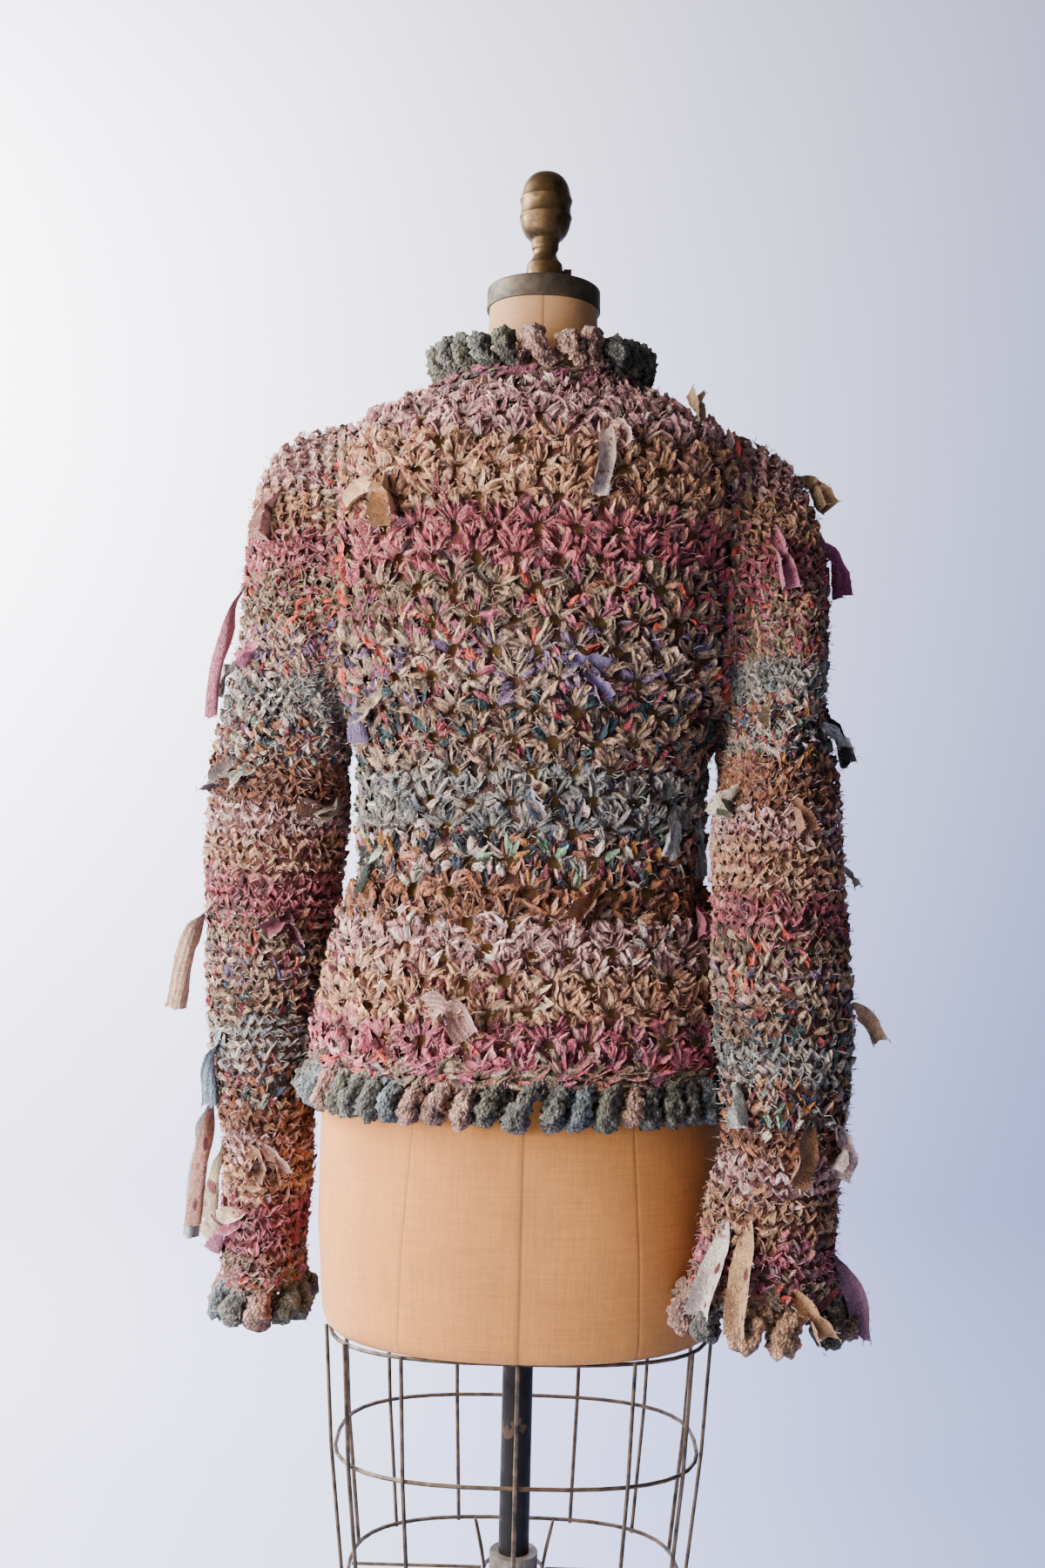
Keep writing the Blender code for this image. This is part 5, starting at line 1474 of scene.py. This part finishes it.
# %% [markdown]
# ## What each piece is
# Every piece rides on the upper body, which slides on the stand. The nets are the cloth that a
# maker would cut, so the area of each is printed, and the stitches, threads and loops are the
# pieces that go with it.

# %% Rides, areas and what each piece replaces
for name, net in nets.items():
    settle(net, "rag_crochet", name)
for piece in stitches.values():
    settle(piece, "rag_crochet")
for name, trim in trims.items():
    settle(trim, "looped_trim", name)
settle(linen_cover, "form_linen", "form_torso")
settle(turned_finial, "aged_bronze", "finial")
settle(turned_cap, "aged_bronze", "neck_cap")


def cloth_area(piece):
    return sum(face.area for face in piece.data.polygons)


for piece in nets.values():
    print(piece.name, "area", round(cloth_area(piece), 4))
print("area of the holes", round(float(np.sum(np.pi * foot_radii ** 2)), 4))
tails_on = {"body": [], "right": [], "left": []}
for piece, row in zip(tail_pieces, RAG_TAILS):
    tails_on[row[2]].append(piece)

# %% [markdown]
# ## Floor and light
# The wall is pale, and a soft large window of light comes from the left. A sheet of paper curves up
# from the floor and is the wall behind; it is painted darker and bluer to the right, as painted
# shade away from the window. It is no wider than the picture needs, and lies on a plain floor, so
# the part can be seen from behind too.

# %% The sweep
SWEEP_HALF = 1.05
SWEEP_FRONT = -1.4
FLOOR_HALF = 5.0
FLOOR_DROP = 0.0003
SWEEP_BACK = 1.55
SWEEP_CURVE = 0.35
SWEEP_STEPS = 12
SWEEP_TOP = 4.2
# The painted blue shade reaches further left higher up.
SWEEP_LEAN = 0.45  # the blue reaches further left higher up
SWEEP_BLEND = (-1.5, 0.65)
SWEEP_LIT_AND_SHADED = ("EEEBF8", "A4B0E2")
sweep_profile = [(SWEEP_FRONT, 0.0), (SWEEP_BACK - SWEEP_CURVE, 0.0)]
for step in range(1, SWEEP_STEPS + 1):
    turn = math.pi / 2 * step / SWEEP_STEPS
    back = SWEEP_BACK - SWEEP_CURVE * (1 - math.sin(turn))
    sweep_profile.append((back, SWEEP_CURVE * (1 - math.cos(turn))))
sweep_profile.append((SWEEP_BACK, SWEEP_TOP))
across = np.linspace(-SWEEP_HALF, SWEEP_HALF, 9)
sweep_rows = np.array([[(x, y, z) for x in across] for y, z in sweep_profile])
corners = [(x, y) for y in (-FLOOR_HALF, FLOOR_HALF) for x in (-FLOOR_HALF, FLOOR_HALF)]
floor_grid = np.array([(x, y, -FLOOR_DROP) for x, y in corners]).reshape(2, 2, 3)

sweep_look = Look("pale_sweep", 0.9)
sweep_parts = sweep_look.node("ShaderNodeSeparateXYZ", [("Vector", sweep_look.place)]).outputs
# Painted shade: the wall goes from near white to a darker blue towards the right, leaning with height.
sweep_rise = sweep_look.calculate("MULTIPLY", sweep_parts["Z"], SWEEP_LEAN)
sweep_x = sweep_look.calculate("SUBTRACT", sweep_parts["X"], sweep_rise)
sweep_shade_share = sweep_look.node(
    "ShaderNodeMapRange", [("Value", sweep_x)], [("From Min", SWEEP_BLEND[0]), ("From Max", SWEEP_BLEND[1])],
).outputs["Result"]
sweep_look.paint(sweep_look.ramp(sweep_shade_share, (0.0, dye(SWEEP_LIT_AND_SHADED[0])), (1.0, dye(SWEEP_LIT_AND_SHADED[1]))))
for name, grid in (("sweep", sweep_rows), ("floor", floor_grid)):
    pile = Pile()
    pile.add(grid[None])
    pile.make(name, sweep_look)

# %% Lights
def soft_light(name, place, target, size, power, colour):
    data = bpy.data.lights.new(name, "AREA")
    data.shape = "RECTANGLE"
    data.size, data.size_y = size
    data.energy = power
    data.color = colour
    light = bpy.data.objects.new(name, data)
    light.location = place
    light.rotation_euler = (Vector(target) - Vector(place)).to_track_quat("-Z", "Y").to_euler()
    bpy.context.scene.collection.objects.link(light)
    return light


soft_light("window", (-1.04, -0.70, 1.36), (0, 0, 1.02), (0.9, 1.2), 53, (1.0, 0.97, 0.93))
soft_light("window_low", (-0.90, -0.68, 0.82), (-0.30, 0, 0.86), (0.5, 0.5), 11, (1.0, 0.97, 0.95))
soft_light("fill", (-0.9, -2.1, 1.2), (0, 0, 1.0), (1.0, 1.0), 5.5, (1.0, 0.95, 0.92))
soft_light("wall_wash", (-1.9, 0.5, 2.0), (-0.5, 1.6, 1.0), (1.2, 1.2), 262, (1.0, 1.0, 1.0))
world = bpy.data.worlds.new("room")
world.use_nodes = True
room_light = world.node_tree.nodes["Background"].inputs
room_light["Color"].default_value = (0.92, 0.93, 1.0, 1.0)
room_light["Strength"].default_value = 0.2
bpy.context.scene.world = world
